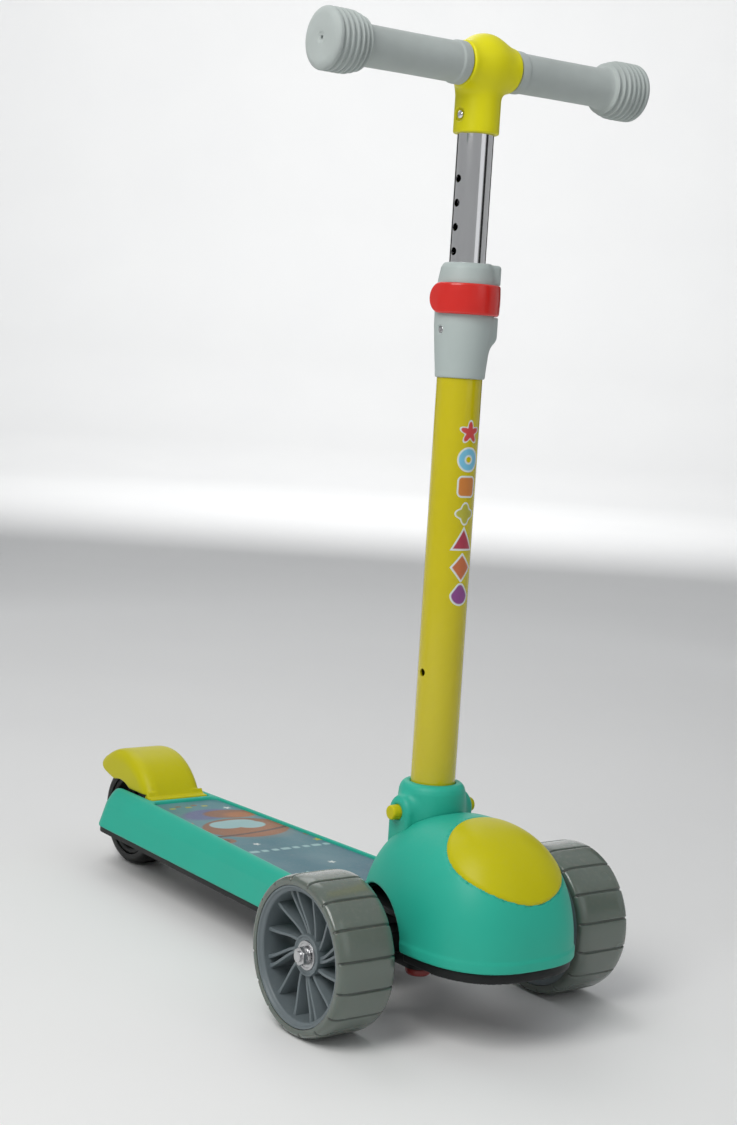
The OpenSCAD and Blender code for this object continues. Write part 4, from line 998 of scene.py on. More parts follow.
@dataclass
class Deck:
    """The moulded deck with its recess, screw posts and printed mat."""

    at: Layout
    finishes: Finishes
    foot_half: tuple[float, float] = (56.0, 63.5)
    top_half: tuple[float, float] = (39.0, 59.0)
    corner: float = 22.0
    wall: float = 3.5
    recess: float = 4.0
    mat: float = 1.5
    border: float = 6.0
    slot_half: float = 31.2
    slot_front: float = -200.55
    recess_rear: float = -194.55
    edge: float = 4.6
    post_half: float = 38.0
    posts: tuple[float, ...] = (-184.55, -94.45, -4.35, 85.75)

    def outer(self, x: Array, y: Array, z: Array, inset: float = 0.0) -> Array:
        """Signed distance to the deck's sloping outer form, shrunk by inset.

        Args:
            x, y, z: Where, in mm.
            inset: How far inside, in mm.

        Returns:
            The distance, negative inside.
        """
        a = self.at
        levels = (a.deck_low, a.deck_low + 0.6 * (a.deck_top - a.deck_low), a.deck_top - 2.5, a.deck_top)
        mid = [f + (t - f) * 0.6 + 1 for f, t in zip(self.foot_half, self.top_half)]
        rear_in = np.interp(z, levels, (2.5, 0.0, 1.0, 2.0))
        rear_half = np.interp(z, levels, (self.foot_half[0], mid[0], self.top_half[0], self.top_half[0] - 0.7))
        front_half = np.interp(z, levels, (self.foot_half[1], mid[1], self.top_half[1], self.top_half[1] - 0.7))
        c = self.corner
        side = tapered_plate(x, y, (a.deck_rear_x + rear_in + c, rear_half - c),
                             (a.deck_front_x - c, front_half - c), c)
        return side * 0.92 + inset

    def solid(self, x: Array, y: Array, z: Array) -> Array:
        """Signed distance to the whole moulding.

        Args:
            x, y, z: Where, in mm.

        Returns:
            The distance, negative inside.
        """
        a = self.at
        floor = a.deck_top - self.recess
        roof = floor - self.wall
        body = both(self.outer(x, y, z), z - a.deck_top, self.edge * 1.7)
        body = both(body, a.deck_low - z, 1.6)
        inner = np.maximum(np.maximum(self.outer(x, y, z, self.wall), z - roof), self.slot_front + 5 - x)
        body = carve(body, inner, 0.6)
        posts = np.minimum.reduce([disc(x - p, np.abs(y) - self.post_half, 4.5) for p in self.posts])
        body = union(body, np.maximum(posts, span(z, a.deck_low + 0.4, roof + 1)), 1.0)
        rear = (self.recess_rear + 8, self.top_half[0] + 1.5 - self.border - 8)
        front = (a.deck_front_x + 30, self.top_half[1] - self.border - 8 + 1.7)
        hollow = both(tapered_plate(x, y, rear, front, 8.0), floor - z, 1.2)
        body = carve(body, hollow, 2.4)
        slot = plate(x - self.slot_front + 200, y, 200, self.slot_half, 2.0)
        body = carve(body, slot, 2.2)
        pockets = np.maximum(plate(x - a.rear_x, z - a.rear_z, 8.5, 8.5, 1.0),
                             span(np.abs(y), self.slot_half + 5, self.slot_half + 13.3))
        body = carve(body, pockets)
        tongue = np.maximum(span(x, a.deck_front_x - 50, a.deck_front_x + 5),
                            np.maximum(np.abs(y) - 45, z - roof))
        return carve(body, tongue, 0.8)

    def half_width(self, x: Array) -> Array:
        """Half width of the mat, with its rounded rear corners.

        Args:
            x: Where, in mm.

        Returns:
            The half width, in mm.
        """
        a = self.at
        share = (x - self.recess_rear) / (a.deck_front_x - self.recess_rear)
        rear, front = self.top_half[0] + 1.5 - self.border, self.top_half[1] - self.border
        wide = rear + (front - rear) * share - 0.4
        into = np.clip(8 - (x - self.recess_rear - 0.3), 0, 8)
        return wide - (8 - np.sqrt(np.maximum(64 - into**2, 0)))

    def print_on(self, x: Array, y: Array) -> Array:
        """Paints the mat's print: a sky with a ringed planet, a cloud, stars and dashes.

        Args:
            x: Place along the mat.
            y: Place across it.

        Returns:
            A colour for each point.
        """
        t = np.clip((x + 190) / 330, 0, 1)[:, None]
        out = np.array(Ink.SKY.value) * (1 - t) + np.array(Ink.DEEP.value) * t
        haze = 0.5 + 0.5 * np.sin(x * 0.031 + 1.7 * np.sin(y * 0.045)) * np.cos(y * 0.05 - x * 0.012)
        out = out + (np.array(Ink.PALE.value) - out) * (0.26 * haze[:, None] * (1 - 0.5 * t))

        def paint(distance: Array, ink: Ink, soft: float = 0.8, share: float = 1.0) -> None:
            """Lays one ink where a signed distance is negative."""
            cover = np.clip(0.5 - distance / soft, 0, 1)[:, None] * share
            out[:] = out * (1 - cover) + np.array(ink.value) * cover

        def oval(cx: float, cy: float, rx: float, ry: float, turn: float = 0.0) -> Array:
            """Signed distance, nearly, to a turned oval.

            Args:
                cx, cy: The middle, in mm.
                rx, ry: The half sizes, in mm.
                turn: The turn, in radians.

            Returns:
                The distance, negative inside.
            """
            c, s = math.cos(turn), math.sin(turn)
            u, v = (x - cx) * c + (y - cy) * s, (y - cy) * c - (x - cx) * s
            return (np.hypot(u / rx, v / ry) - 1) * min(rx, ry)

        def star(cx: float, cy: float, r: float, points: int, turn: float) -> Array:
            """Signed distance, nearly, to a star with rounded points."""
            a = np.arctan2(y - cy, x - cx) + turn
            return np.hypot(x - cx, y - cy) - r * (0.72 + 0.28 * np.cos(points * a))

        paint(oval(-144, -4, 17, 28, 0.25), Ink.PURPLE, 5.0, 0.85)
        paint(oval(-139, 16, 15, 25, -0.2), Ink.BROWN, 2.5)
        paint(oval(-133, 24, 10, 15, -0.2), Ink.ORANGE, 6.0, 0.45)
        paint(oval(-90, 3, 33, 41), Ink.BROWN, 1.4)
        paint(oval(-82, 8, 25, 32), Ink.ORANGE, 24.0, 0.22)
        ring = oval(-88, 3, 16, 62, 0.16)
        front = (x + 88) * math.cos(0.16) + (y - 3) * math.sin(0.16) > -2
        paint(np.where(front | (oval(-90, 3, 33, 41) > 0), np.abs(ring) - 2.0, 9.0), Ink.DARK_BROWN, 1.0)
        cloud = np.minimum.reduce([oval(-104, -8, 13, 17), oval(-98, 12, 12, 15), oval(-108, 3, 10, 20)])
        paint(cloud, Ink.PALE, 1.2)
        paint(np.minimum(oval(-55, -39, 8, 9), oval(-50, 47, 6.5, 8)), Ink.BROWN, 1.0)
        paint(np.minimum(oval(-55, -39, 3.5, 4), oval(-50, 47, 3, 3.6)), Ink.DARK_BROWN, 1.0)
        for cx, cy, r, ink in ((-128, -40, 5, Ink.WHITE), (-120, -37, 3.5, Ink.ORANGE), (-30, 40, 4.5, Ink.YELLOW),
                               (-36, -20, 3.5, Ink.WHITE), (60, -30, 6.0, Ink.PALE), (88, 26, 5.0, Ink.PALE),
                               (38, 8, 3.6, Ink.WHITE), (112, -14, 4.0, Ink.WHITE), (-160, 26, 4.0, Ink.WHITE)):
            paint(star(cx, cy, r, 5, cx * 0.1), ink)
        for i in range(9):
            wide = 3.2 if i % 3 else 4.6
            paint(plate(x + 14, y + 36 - i * 10.6, 3.0, wide, 2.0), Ink.PALE, 1.4)
        for i in range(5):
            paint(plate(x + 174 + (i % 2) * 5, y + 24 - i * 8.5, 2.2, 3.2, 1.8),
                  Ink.YELLOW if i % 2 == 0 else Ink.BROWN, 1.2, 0.8)
        return out

    def build_mat(self) -> None:
        """Builds the printed mat as one thin closed sheet."""
        a, low = self.at, self.at.deck_top - self.recess
        xs = np.linspace(self.recess_rear + 0.32, a.deck_front_x, 380)
        ts = np.linspace(-1, 1, 118)
        gx, gt = np.meshgrid(xs, ts, indexing="ij")
        gy = gt * self.half_width(gx)
        wave = 0.04 * np.sin(gx * 0.05) * np.cos(gy * 0.06)
        top = np.stack([gx, gy, low + self.mat - 0.06 + wave], -1)
        top[[0, -1], :, 2] -= 0.35
        top[:, [0, -1], 2] -= 0.35
        n, m = gx.shape
        number = np.arange(n * m).reshape(n, m)
        quads = np.stack([number[:-1, :-1], number[1:, :-1], number[1:, 1:], number[:-1, 1:]], -1).reshape(-1, 4)
        loop = np.concatenate([number[:, 0], number[-1, 1:], number[-2::-1, -1], number[0, -2:0:-1]])
        verts = np.concatenate([top.reshape(-1, 3), top.reshape(-1, 3)[loop] * [1, 1, 0] + [0, 0, low]])
        under = n * m + np.arange(len(loop))
        skirt = [[loop[i], under[i], under[(i + 1) % len(loop)], loop[(i + 1) % len(loop)]]
                 for i in range(len(loop))]
        obj = make("deck_mat_print", verts, quads.tolist() + skirt + [under[::-1].tolist()],
                   self.finishes["mat_film"], sharp=50)
        dye(obj, "print", self.print_on(verts[:, 0], verts[:, 1]))
        ride(obj, Body.DECK, ["deck_mat"])

    def build(self) -> None:
        """Builds the deck's pieces."""
        a = self.at
        verts, faces = skin(self.solid, (a.deck_rear_x - 2, -66, a.deck_low - 1.5),
                            (a.deck_front_x + 2, 66, a.deck_top + 1.5), (1.9, 1.35, 1.15))
        ride(make("deck_moulding", verts, faces, self.finishes["teal_moulding"]), Body.DECK,
             ["deck_shell"])
        self.build_mat()


# ------------------------------------------------------------------ nose


@dataclass
class Nose:
    """The domed front housing, its black base and its badge."""

    at: Layout
    finishes: Finishes
    lead: float = 30.0
    front_len: float = 80.0
    rear_len: float = 93.5
    half_w: float = 66.0
    height: float = 95.0
    rim_z: float = 63.0
    wall: float = 3.0
    plan: float = 2.67
    rise: float = 2.35
    arch_r: float = 42.0
    arch_back: float = 12.0
    rim_deep: float = 8.0
    badge: tuple[float, float] = (44.2, 46.2)
    badge_at: tuple[float, float] = (67.0, 76.0)
    badge_tilt: float = 34.0
    badge_up: float = 1.2

    def size(self, x: Array, y: Array, z: Array, inset: float) -> Array:
        """How large the dome through each point is, as a share of the dome itself.

        Args:
            x, y, z: Where, in mm.
            inset: How far inside, in mm.

        Returns:
            The share, 1 on the dome.
        """
        u = x - self.at.front_x - self.lead
        a = np.where(u > 0, self.front_len - inset, self.rear_len - inset)
        s = (np.abs(u) / a) ** self.plan + (np.abs(y) / (self.half_w - inset)) ** self.plan
        up = np.maximum(z - self.rim_z, 0) / (self.height - inset)
        return ((s ** (self.rise / self.plan)) + up**self.rise) ** (1 / self.rise) + 1e-9

    def dome(self, x: Array, y: Array, z: Array, inset: float = 0.0) -> Array:
        """Signed distance to the dome, shrunk by inset.

        Args:
            x, y, z: Where, in mm.
            inset: How far inside, in mm.

        Returns:
            The distance, negative inside.
        """
        n, h = self.size(x, y, z, inset), 0.05
        slope = np.sqrt(((self.size(x + h, y, z, inset) - n) / h) ** 2
                        + ((self.size(x, y + h, z, inset) - n) / h) ** 2
                        + ((self.size(x, y, z + h, inset) - n) / h) ** 2)
        return (n - 1) / np.maximum(slope, 0.004)

    def ring(self, x: Array, y: Array) -> Array:
        """Signed distance to the dome's outline at its rim."""
        return self.dome(x, y, np.full_like(x, self.rim_z))

    def badge_edge(self, x: Array, y: Array, z: Array) -> tuple[Array, Array]:
        """Distance to the badge's outline across it, and how far each point is along its axis.

        Args:
            x, y, z: Where, in mm.

        Returns:
            The two distances, in mm.
        """
        t = math.radians(self.badge_tilt)
        dx, dz = x - self.at.front_x - self.badge_at[0], z - self.at.front_z - self.badge_at[1]
        u, w = dx * math.cos(t) - dz * math.sin(t), dx * math.sin(t) + dz * math.cos(t)
        return (np.hypot(u / self.badge[0], y / self.badge[1]) - 1) * self.badge[0], w

    def cover(self, x: Array, y: Array, z: Array) -> Array:
        """Signed distance to the housing.

        Args:
            x, y, z: Where, in mm.

        Returns:
            The distance, negative inside.
        """
        a = self.at
        d = self.dome(x, y, z)
        lip = np.clip((72.5 - z) / 3.0, 0, 1)
        lip = lip * lip * (3 - 2 * lip) * 0.9
        body = np.maximum(d - lip, -(d + self.wall))
        posts = np.minimum(disc(x - a.front_x + 4, np.abs(y) - 47, 4.5),
                           disc(x - a.front_x - 72, np.abs(y) - 34, 4.5))
        body = union(body, np.maximum(np.maximum(posts, d + self.wall / 2), a.deck_top + 11.2 - z), 1.5)
        body = both(body, self.rim_z - z, 1.2)
        arch = np.maximum(disc(x - a.front_x + self.arch_back, z - a.front_z, self.arch_r), 34 - np.abs(y))
        body = carve(body, arch, 1.8)
        socket = np.minimum(disc(x - a.stem_x, y, 28.4), plate(x - a.stem_x, y, 12.9, 32.9, 0.5))
        body = carve(body, np.maximum(socket, 92 - z), 2.6)
        entry = np.maximum(x - a.deck_front_x - 6.4, z - a.deck_top)
        body = carve(body, entry, 1.2)
        e, w = self.badge_edge(x, y, z)
        groove = np.maximum(np.abs(e - 0.2) - 0.45, np.maximum(-(d + 1.0), -40 - w))
        return carve(body, groove, 0.6)

    def badge_solid(self, x: Array, y: Array, z: Array) -> Array:
        """Signed distance to the badge.

        Args:
            x, y, z: Where, in mm.

        Returns:
            The distance, negative inside.
        """
        e, w = self.badge_edge(x, y, z)
        d = self.dome(x, y, z)
        swell = 0.35 * np.clip(1 - (e / self.badge[0] + 1) ** 2, 0, 1)
        return both(np.maximum(np.maximum(d - self.badge_up + 0.35 - swell, -d - 1.7), -40 - w), e, 2.2)

    def base(self, x: Array, y: Array, z: Array) -> Array:
        """Signed distance to the black base under the housing.

        Args:
            x, y, z: Where, in mm.

        Returns:
            The distance, negative inside.
        """
        a, low = self.at, self.rim_z - self.rim_deep
        top = a.deck_top + 11
        window = a.front_x - self.arch_back + self.arch_r + 1
        e = self.ring(x, y)
        band = np.maximum(np.maximum(e + 2.2, -e - 6.2), span(z, low, self.rim_z))
        band = np.maximum(band, window - x)
        wall = np.maximum(np.maximum(e + 5.6, -e - 9.6), span(z, low, top))
        wall = np.maximum(wall, window - x)
        floor = np.maximum(np.maximum(e + 2.2, span(z, low, low + 4)), a.front_x + 62 - x)
        roof = np.maximum(np.maximum(e + 5.6, span(z, top - 4, top)), a.deck_front_x - x)
        body = union(union(both(band, low - z, 2.6), wall, 1.0), union(floor, roof, 0.5), 1.2)
        spine = np.maximum(span(x, a.deck_front_x, a.front_x - 25), np.maximum(np.abs(y) - 15, span(z, 69, top)))
        bulkhead = np.maximum(span(x, a.deck_front_x, a.deck_front_x + 6),
                              np.maximum(np.abs(y) - 33, span(z, a.deck_low, a.deck_top)))
        tongue = np.maximum(span(x, a.deck_front_x - 50, a.deck_front_x + 1),
                            np.maximum(np.abs(y) - 45, span(z, a.deck_low, a.deck_top - 7.5)))
        body = union(body, union(union(spine, bulkhead, 2.0), both(tongue, np.abs(y) - 45, 1.5), 1.0), 2.0)
        t = math.radians(30)
        dx, dz = x - a.front_x, z - a.front_z
        along = dx * math.sin(t) + dz * math.cos(t)
        across = np.hypot(dx * math.cos(t) - dz * math.sin(t), y)
        boss = np.maximum(across - 13, span(along, 16.93, 39.43))
        return carve(union(body, boss, 2.5), np.maximum(across - 5, 16 - along))

    def build(self) -> None:
        """Builds the housing, the base and the badge."""
        a = self.at
        x0, x1 = a.front_x + self.lead - self.rear_len, a.front_x + self.lead + self.front_len
        verts, faces = skin(self.cover, (x0 - 3, -69.5, self.rim_z - 2), (x1 + 3, 69.5, self.rim_z + self.height + 2),
                            (1.35, 1.35, 1.25))
        ride(make("nose_housing", verts, faces, self.finishes["teal_moulding"]), Body.DECK,
             ["nose_cover"])
        verts, faces = skin(self.badge_solid, (a.front_x + 20, -47, 90), (x1 + 3, 47, self.rim_z + self.height + 3),
                            (0.95, 0.95, 0.8))
        ride(make("nose_badge_plate", verts, faces, self.finishes["yellow_moulding"]), Body.DECK,
             ["nose_badge"])
        verts, faces = skin(self.base, (a.deck_front_x - 52, -67, a.deck_low - 2), (x1 + 2, 67, a.deck_top + 22),
                            (1.7, 1.6, 1.3))
        ride(make("nose_base_tray", verts, faces, self.finishes["black_moulding"]), Body.DECK,
             ["nose_base"])


# ------------------------------------------------------------------ wheels


@dataclass
class FrontWheel:
    """One wide front wheel: hub, spokes, tyre and bearings."""

    at: Layout
    finishes: Finishes
    side: Side
    radius: float = 60.0
    width: float = 50.0
    rim: float = 52.5
    rim_wall: float = 5.0
    hub: float = 15.5
    inset: float = 10.0
    spoke_low: float = 16.0
    bend: float = 21.0
    treads: int = 16

    @property
    def body(self) -> Body:
        """The body that this wheel is."""
        return Body.WHEEL_LEFT if self.side is Side.LEFT else Body.WHEEL_RIGHT

    @property
    def centre(self) -> Point:
        """The middle of the wheel's inner face."""
        return (self.at.front_x, self.side.value * self.at.wheel_in, self.at.front_z)

    def tyre(self) -> None:
        """Builds the tyre, its narrow grooves running out over the shoulders and darkened with painted shade."""
        w, r = self.width, self.radius
        outline = rounded([(self.rim, 0.6, 0.4), (r - 2.2, 0.2, 5.5), (r - 0.05, 6.5, 4.5), (r, w / 2, 0),
                           (r - 0.05, w - 6.5, 4.5), (r - 2.2, w - 0.2, 5.5), (self.rim, w - 0.6, 0.4)], True, 6)
        dense: list[tuple[float, float]] = []
        for p, q in zip(outline, outline[1:] + outline[:1]):
            n = max(1, int(math.dist(p, q) / 2.6))
            dense += [(p[0] + (q[0] - p[0]) * i / n, p[1] + (q[1] - p[1]) * i / n) for i in range(n)]
        pitch = 2 * math.pi / self.treads
        cut = [-1.9, -1.45, -1.05, -0.7, -0.35, 0, 0.35, 0.7, 1.05, 1.45, 1.9]
        angles: list[tuple[float, float]] = []
        for i in range(self.treads):
            middle = (i + 0.5) * pitch
            angles += [(middle + c / r, c) for c in cut]
            angles += [(middle + pitch * k / 5, 9.0) for k in (1, 2, 3, 4)]
        verts, groove_shade = [], []
        for a, c in angles:
            dip = max(0.0, 1 - max(0.0, abs(c) - 0.35) / 1.1)
            dip = dip * dip * (3 - 2 * dip)
            for rr, z in dense:
                edge = min(z, w - z)
                reach = min(1.0, max(0.0, (rr - self.rim - 2.2) / 2.5)) * (1.0 if edge > 4 else 1.25)
                lane = 0.5 + 0.5 * math.cos((z - w / 2) * 2 * math.pi / 15.5)
                deep = dip * reach * (1.05 + 0.15 * lane)
                verts.append(((rr - deep) * math.cos(a), (rr - deep) * math.sin(a), z))
                # painted shade: the colour darkens where a groove dips in
                groove_shade.append(1 - 0.55 * dip * reach)
        n, m = len(angles), len(dense)
        faces = [[i * m + j, (i + 1) % n * m + j, (i + 1) % n * m + (j + 1) % m, i * m + (j + 1) % m]
                 for i in range(n) for j in range(m)]
        obj = make(f"front_tyre_{self.side.name.lower()}_urethane", lay(np.array(verts), self.centre, self.side),
                   faces, self.finishes["clear_urethane"], outward=True)
        # the tread layer: tyre colour with painted shade in the grooves, and darker towards the rim
        tone = np.array(shade(96, 106, 98))[None] * np.array(groove_shade)[:, None]
        inner = np.clip((np.hypot(np.array(verts)[:, 0], np.array(verts)[:, 1]) - self.rim) / 7.5, 0, 1)[:, None]
        dye(obj, "tread", tone * (0.78 + 0.22 * inner))
        ride(obj, self.body, [f"front_tyre_{self.side.name.lower()}"])

    def spoke(self) -> Shell:
        """Makes one curved spoke that runs from the hub to the rim, about the Z axis.

        Returns:
            The spoke's points and faces.
        """
        inner, outer, steps = self.hub - 1.0, self.rim - self.rim_wall + 1.0, 12
        verts, faces = [], []
        for i in range(steps + 1):
            t = i / steps
            r, a = inner + (outer - inner) * t, math.radians(self.bend) * t * (2 - t)
            half = 1.25 + 0.6 * (2 * t - 1) ** 4
            top = self.width - self.inset - 2.5 + 4.5 * t
            loop = rounded([(-half, self.spoke_low, 0.9), (half, self.spoke_low, 0.9), (half, top, 0.9),
                            (-half, top, 0.9)], True, 2)
            for across, z in loop:
                verts.append((r * math.cos(a) - across * math.sin(a), r * math.sin(a) + across * math.cos(a), z))
        m = len(verts) // (steps + 1)
        for i in range(steps):
            faces += [[i * m + j, i * m + (j + 1) % m, (i + 1) * m + (j + 1) % m, (i + 1) * m + j] for j in range(m)]
        faces += [list(range(m))[::-1], list(range(steps * m, steps * m + m))]
        return np.array(verts), faces

    def hub_and_rim(self) -> None:
        """Builds the rim and boss, then sets the spokes between them."""
        w, r = self.width, self.rim
        deep = w - self.inset
        rim = lathe(rounded([(r - self.rim_wall, 1, 1.2), (r, 1, 1.2), (r, w - 1, 1.2), (r - 1.8, w - 1, 0.9),
                             (r - 2.6, w - 2.4, 0.9), (r - self.rim_wall, w - 4.0, 1.4)], True), True, 128)
        boss = lathe(rounded([(7.6, 2.2, 0), (self.hub, 2.2, 1.2), (self.hub, deep, 1.4), (self.hub - 1.6, deep, 0.5),
                              (self.hub - 2.2, deep - 0.8, 0.5), (11.0, deep - 0.8, 0.3), (11.0, deep - 7, 0),
                              (7.6, deep - 7, 0), (7.6, 10, 0), (11, 10, 0), (11, 2.2, 0.3)], True), True, 96)
        name = self.side.name.lower()
        verts, faces = merge("hub", [rim, boss])
        hub = make(f"front_hub_{name}_ring", lay(verts, self.centre, self.side), faces, self.finishes["rim_moulding"],
                   sharp=50, outward=True)
        ride(hub, self.body, [f"front_hub_{name}"])
        verts, faces = self.spoke()
        flat = lay(verts, (0, 0, 0), self.side)
        obj = make(f"front_hub_{name}_spokes", flat, faces, self.finishes["rim_moulding"], outward=True)
        grow(obj, SPOKES, {"Spokes": 12, "Double Every": 3, "Double By": math.radians(8.5),
                           "Centre": tuple(c * MM for c in self.centre), "Finish": self.finishes["rim_moulding"]})
        smooth(obj.data, 50)
        ride(obj, self.body)

    def bearings(self) -> None:
        """Builds the two shielded bearings."""
        race = rounded([(4.05, 0, 0.3), (6.3, 0, 0.3), (6.45, 0.55, 0.1), (9.0, 0.45, 0.1), (9.15, 0, 0.3),
                        (11, 0, 0.5), (11, 7, 0.5), (9.15, 7, 0.3), (9.0, 6.55, 0.1), (6.45, 6.45, 0.1),
                        (6.3, 7, 0.3), (4.05, 7, 0.3)], True, 3)
        rings = []
        for z in (3.0, self.width - self.inset - 7.0):
            v, f = lathe(race, True, 64)
            rings.append((v + [0, 0, z], f))
        name = self.side.name.lower()
        verts, faces = merge("bearings", rings)
        obj = make(f"front_bearings_{name}_608", lay(verts, self.centre, self.side), faces,
                   self.finishes["zinc_plate"], sharp=40, outward=True)
        ride(obj, self.body, [f"front_bearings_{name}"])

    def build(self) -> None:
        """Builds the wheel's pieces."""
        self.tyre()
        self.hub_and_rim()
        self.bearings()


@dataclass
class RearWheel:
    """The black rear wheel."""

    at: Layout
    finishes: Finishes
    radius: float = 47.5
    width: float = 38.0
    rim: float = 38.0

    def build(self) -> None:
        """Builds the tyre and the hub."""
        w, r = self.width, self.radius
        place = (self.at.rear_x, -w / 2, self.at.rear_z)
        tread = rounded([(self.rim, 0.8, 0.5), (r - 2.5, 0.3, 4), (r, 6, 4), (r, w / 2 - 1.2, 0.6),
                         (r - 0.8, w / 2 - 0.5, 0.3), (r - 0.8, w / 2 + 0.5, 0.3), (r, w / 2 + 1.2, 0.6),
                         (r, w - 6, 4), (r - 2.5, w - 0.3, 4), (self.rim, w - 0.8, 0.5)], True)
        verts, faces = lathe(tread, True, 128)
        ride(make("rear_tyre_urethane", lay(verts, place, Side.LEFT), faces, self.finishes["black_urethane"],
                  sharp=50, outward=True), Body.WHEEL_REAR, ["rear_tyre"])

        def hub(x: Array, y: Array, z: Array) -> Array:
            """Signed distance to the hub.

            Args:
                x, y, z: Where, in mm.

            Returns:
                The distance, negative inside.
            """
            dx, dz = x - self.at.rear_x, z - self.at.rear_z
            rr, ay, turn = np.hypot(dx, dz), np.abs(y), np.arctan2(dz, dx)
            ring = both(np.maximum(rr - self.rim, self.rim - 5 - rr), ay - w / 2 + 2, 1.5)
            boss = both(rr - 15.5, ay - w / 2 + 3, 1.5)
            web = np.maximum(rr - 34, ay - 4)
            part = np.mod(turn + math.pi / 6, math.pi / 3) - math.pi / 6
            holes = np.hypot(rr * np.cos(part) - 24.25, rr * np.sin(part)) - 5
            body = union(union(ring, carve(web, holes, 1.2), 2.5), boss, 2.5)
            bore = np.minimum(rr - 7.5, np.maximum(rr - 11, w / 2 - 10 - ay))
            return carve(body, bore, 0.5)

        verts, faces = skin(hub, (place[0] - 39, -18.2, place[2] - 39), (place[0] + 39, 18.2, place[2] + 39),
                            (1.1, 1.0, 1.1))
        ride(make("rear_hub_web", verts, faces, self.finishes["black_moulding"]), Body.WHEEL_REAR,
             ["rear_hub"])


# ------------------------------------------------------------------ foot brake


@dataclass
class FootBrake:
    """The curved guard that the heel presses onto the rear tyre."""

    at: Layout
    finishes: Finishes
    radius: float = 64.0
    half: float = 30.0
    wall: float = 3.5
    tail: float = 131.0
    pin: tuple[float, float] = (58.5, 68.0)
    hub: float = 6.0

    def solid(self, x: Array, y: Array, z: Array) -> Array:
        """Signed distance to the guard.

        Args:
            x, y, z: Where, in mm.

        Returns:
            The distance, negative inside.
        """
        a = self.at
        dx, dz, ay = x - a.rear_x, z - a.rear_z, np.abs(y)
        rr = np.hypot(dx, dz)
        outer = both(rr - self.radius, ay - self.half, 13.0)
        inner = both(rr - self.radius + self.wall, ay - self.half + self.wall, 9.5)
        low = a.deck_top - a.rear_z + 0.8
        t1 = math.radians(self.tail)
        tail = dz * math.cos(t1) - dx * math.sin(t1)
        edge = -0.371 * (dx + 12) - 0.928 * (dz - 30)
        skirt = both(both(low - dz, edge, 14.0), 35.5 - rr, 1.0)
        keep = both(tail, np.minimum(self.radius - self.wall - 1.0 - rr, skirt), 3.0)
        body = both(both(carve(outer, inner, 0.3), keep, 1.4), low - dz, 1.0)
        bead = both(np.hypot(rr - self.radius + 2.7, tail + 2.6) - 2.7, ay - self.half + 6.0, 3.0)
        body = union(body, bead, 2.0)
        apron = np.maximum(span(dx, 50.0, 64.2), span(dz, low - 3.6, low - 0.3))
        body = union(body, both(apron, ay - self.half, 1.0), 1.5)
        px, pz = x - a.rear_x - self.pin[0], z - self.pin[1]
        knuckle = disc(px, pz, self.hub)
        arm = np.maximum(plate(px + 1.2, pz - 6, 5.0, 7.5, 1.5), rr - self.radius)
        arms = both(union(knuckle, arm, 2.0), span(ay, 18, self.half), 1.2)
        body = union(body, arms, 1.5)
        return carve(body, disc(px, pz, 2.55))

    def build(self) -> None:
        """Builds the guard and its spring."""
        a = self.at
        verts, faces = skin(self.solid, (a.rear_x - 66, -31.5, 60), (a.rear_x + 67, 31.5, a.rear_z + 66),
                            (1.15, 1.15, 1.1))
        ride(make("foot_brake_guard", verts, faces, self.finishes["yellow_moulding"]), Body.BRAKE,
             ["fender_brake"])
        obj = make("brake_spring_coil", np.array([(0, 0, 0), (1, 0, 0), (0, 1, 0)]), [[0, 1, 2]],
                   self.finishes["spring_wire"])
        grow(obj, COIL, {"Turns": 5.5, "Coil Radius": 0.004, "Wire Radius": 0.0009, "Length": 0.0138,
                         "Centre": ((a.rear_x + self.pin[0]) * MM, 0.0, self.pin[1] * MM),
                         "Finish": self.finishes["spring_wire"]})
        smooth(obj.data, 40)
        ride(obj, Body.DECK, ["brake_spring"])


# ------------------------------------------------------------------ stem


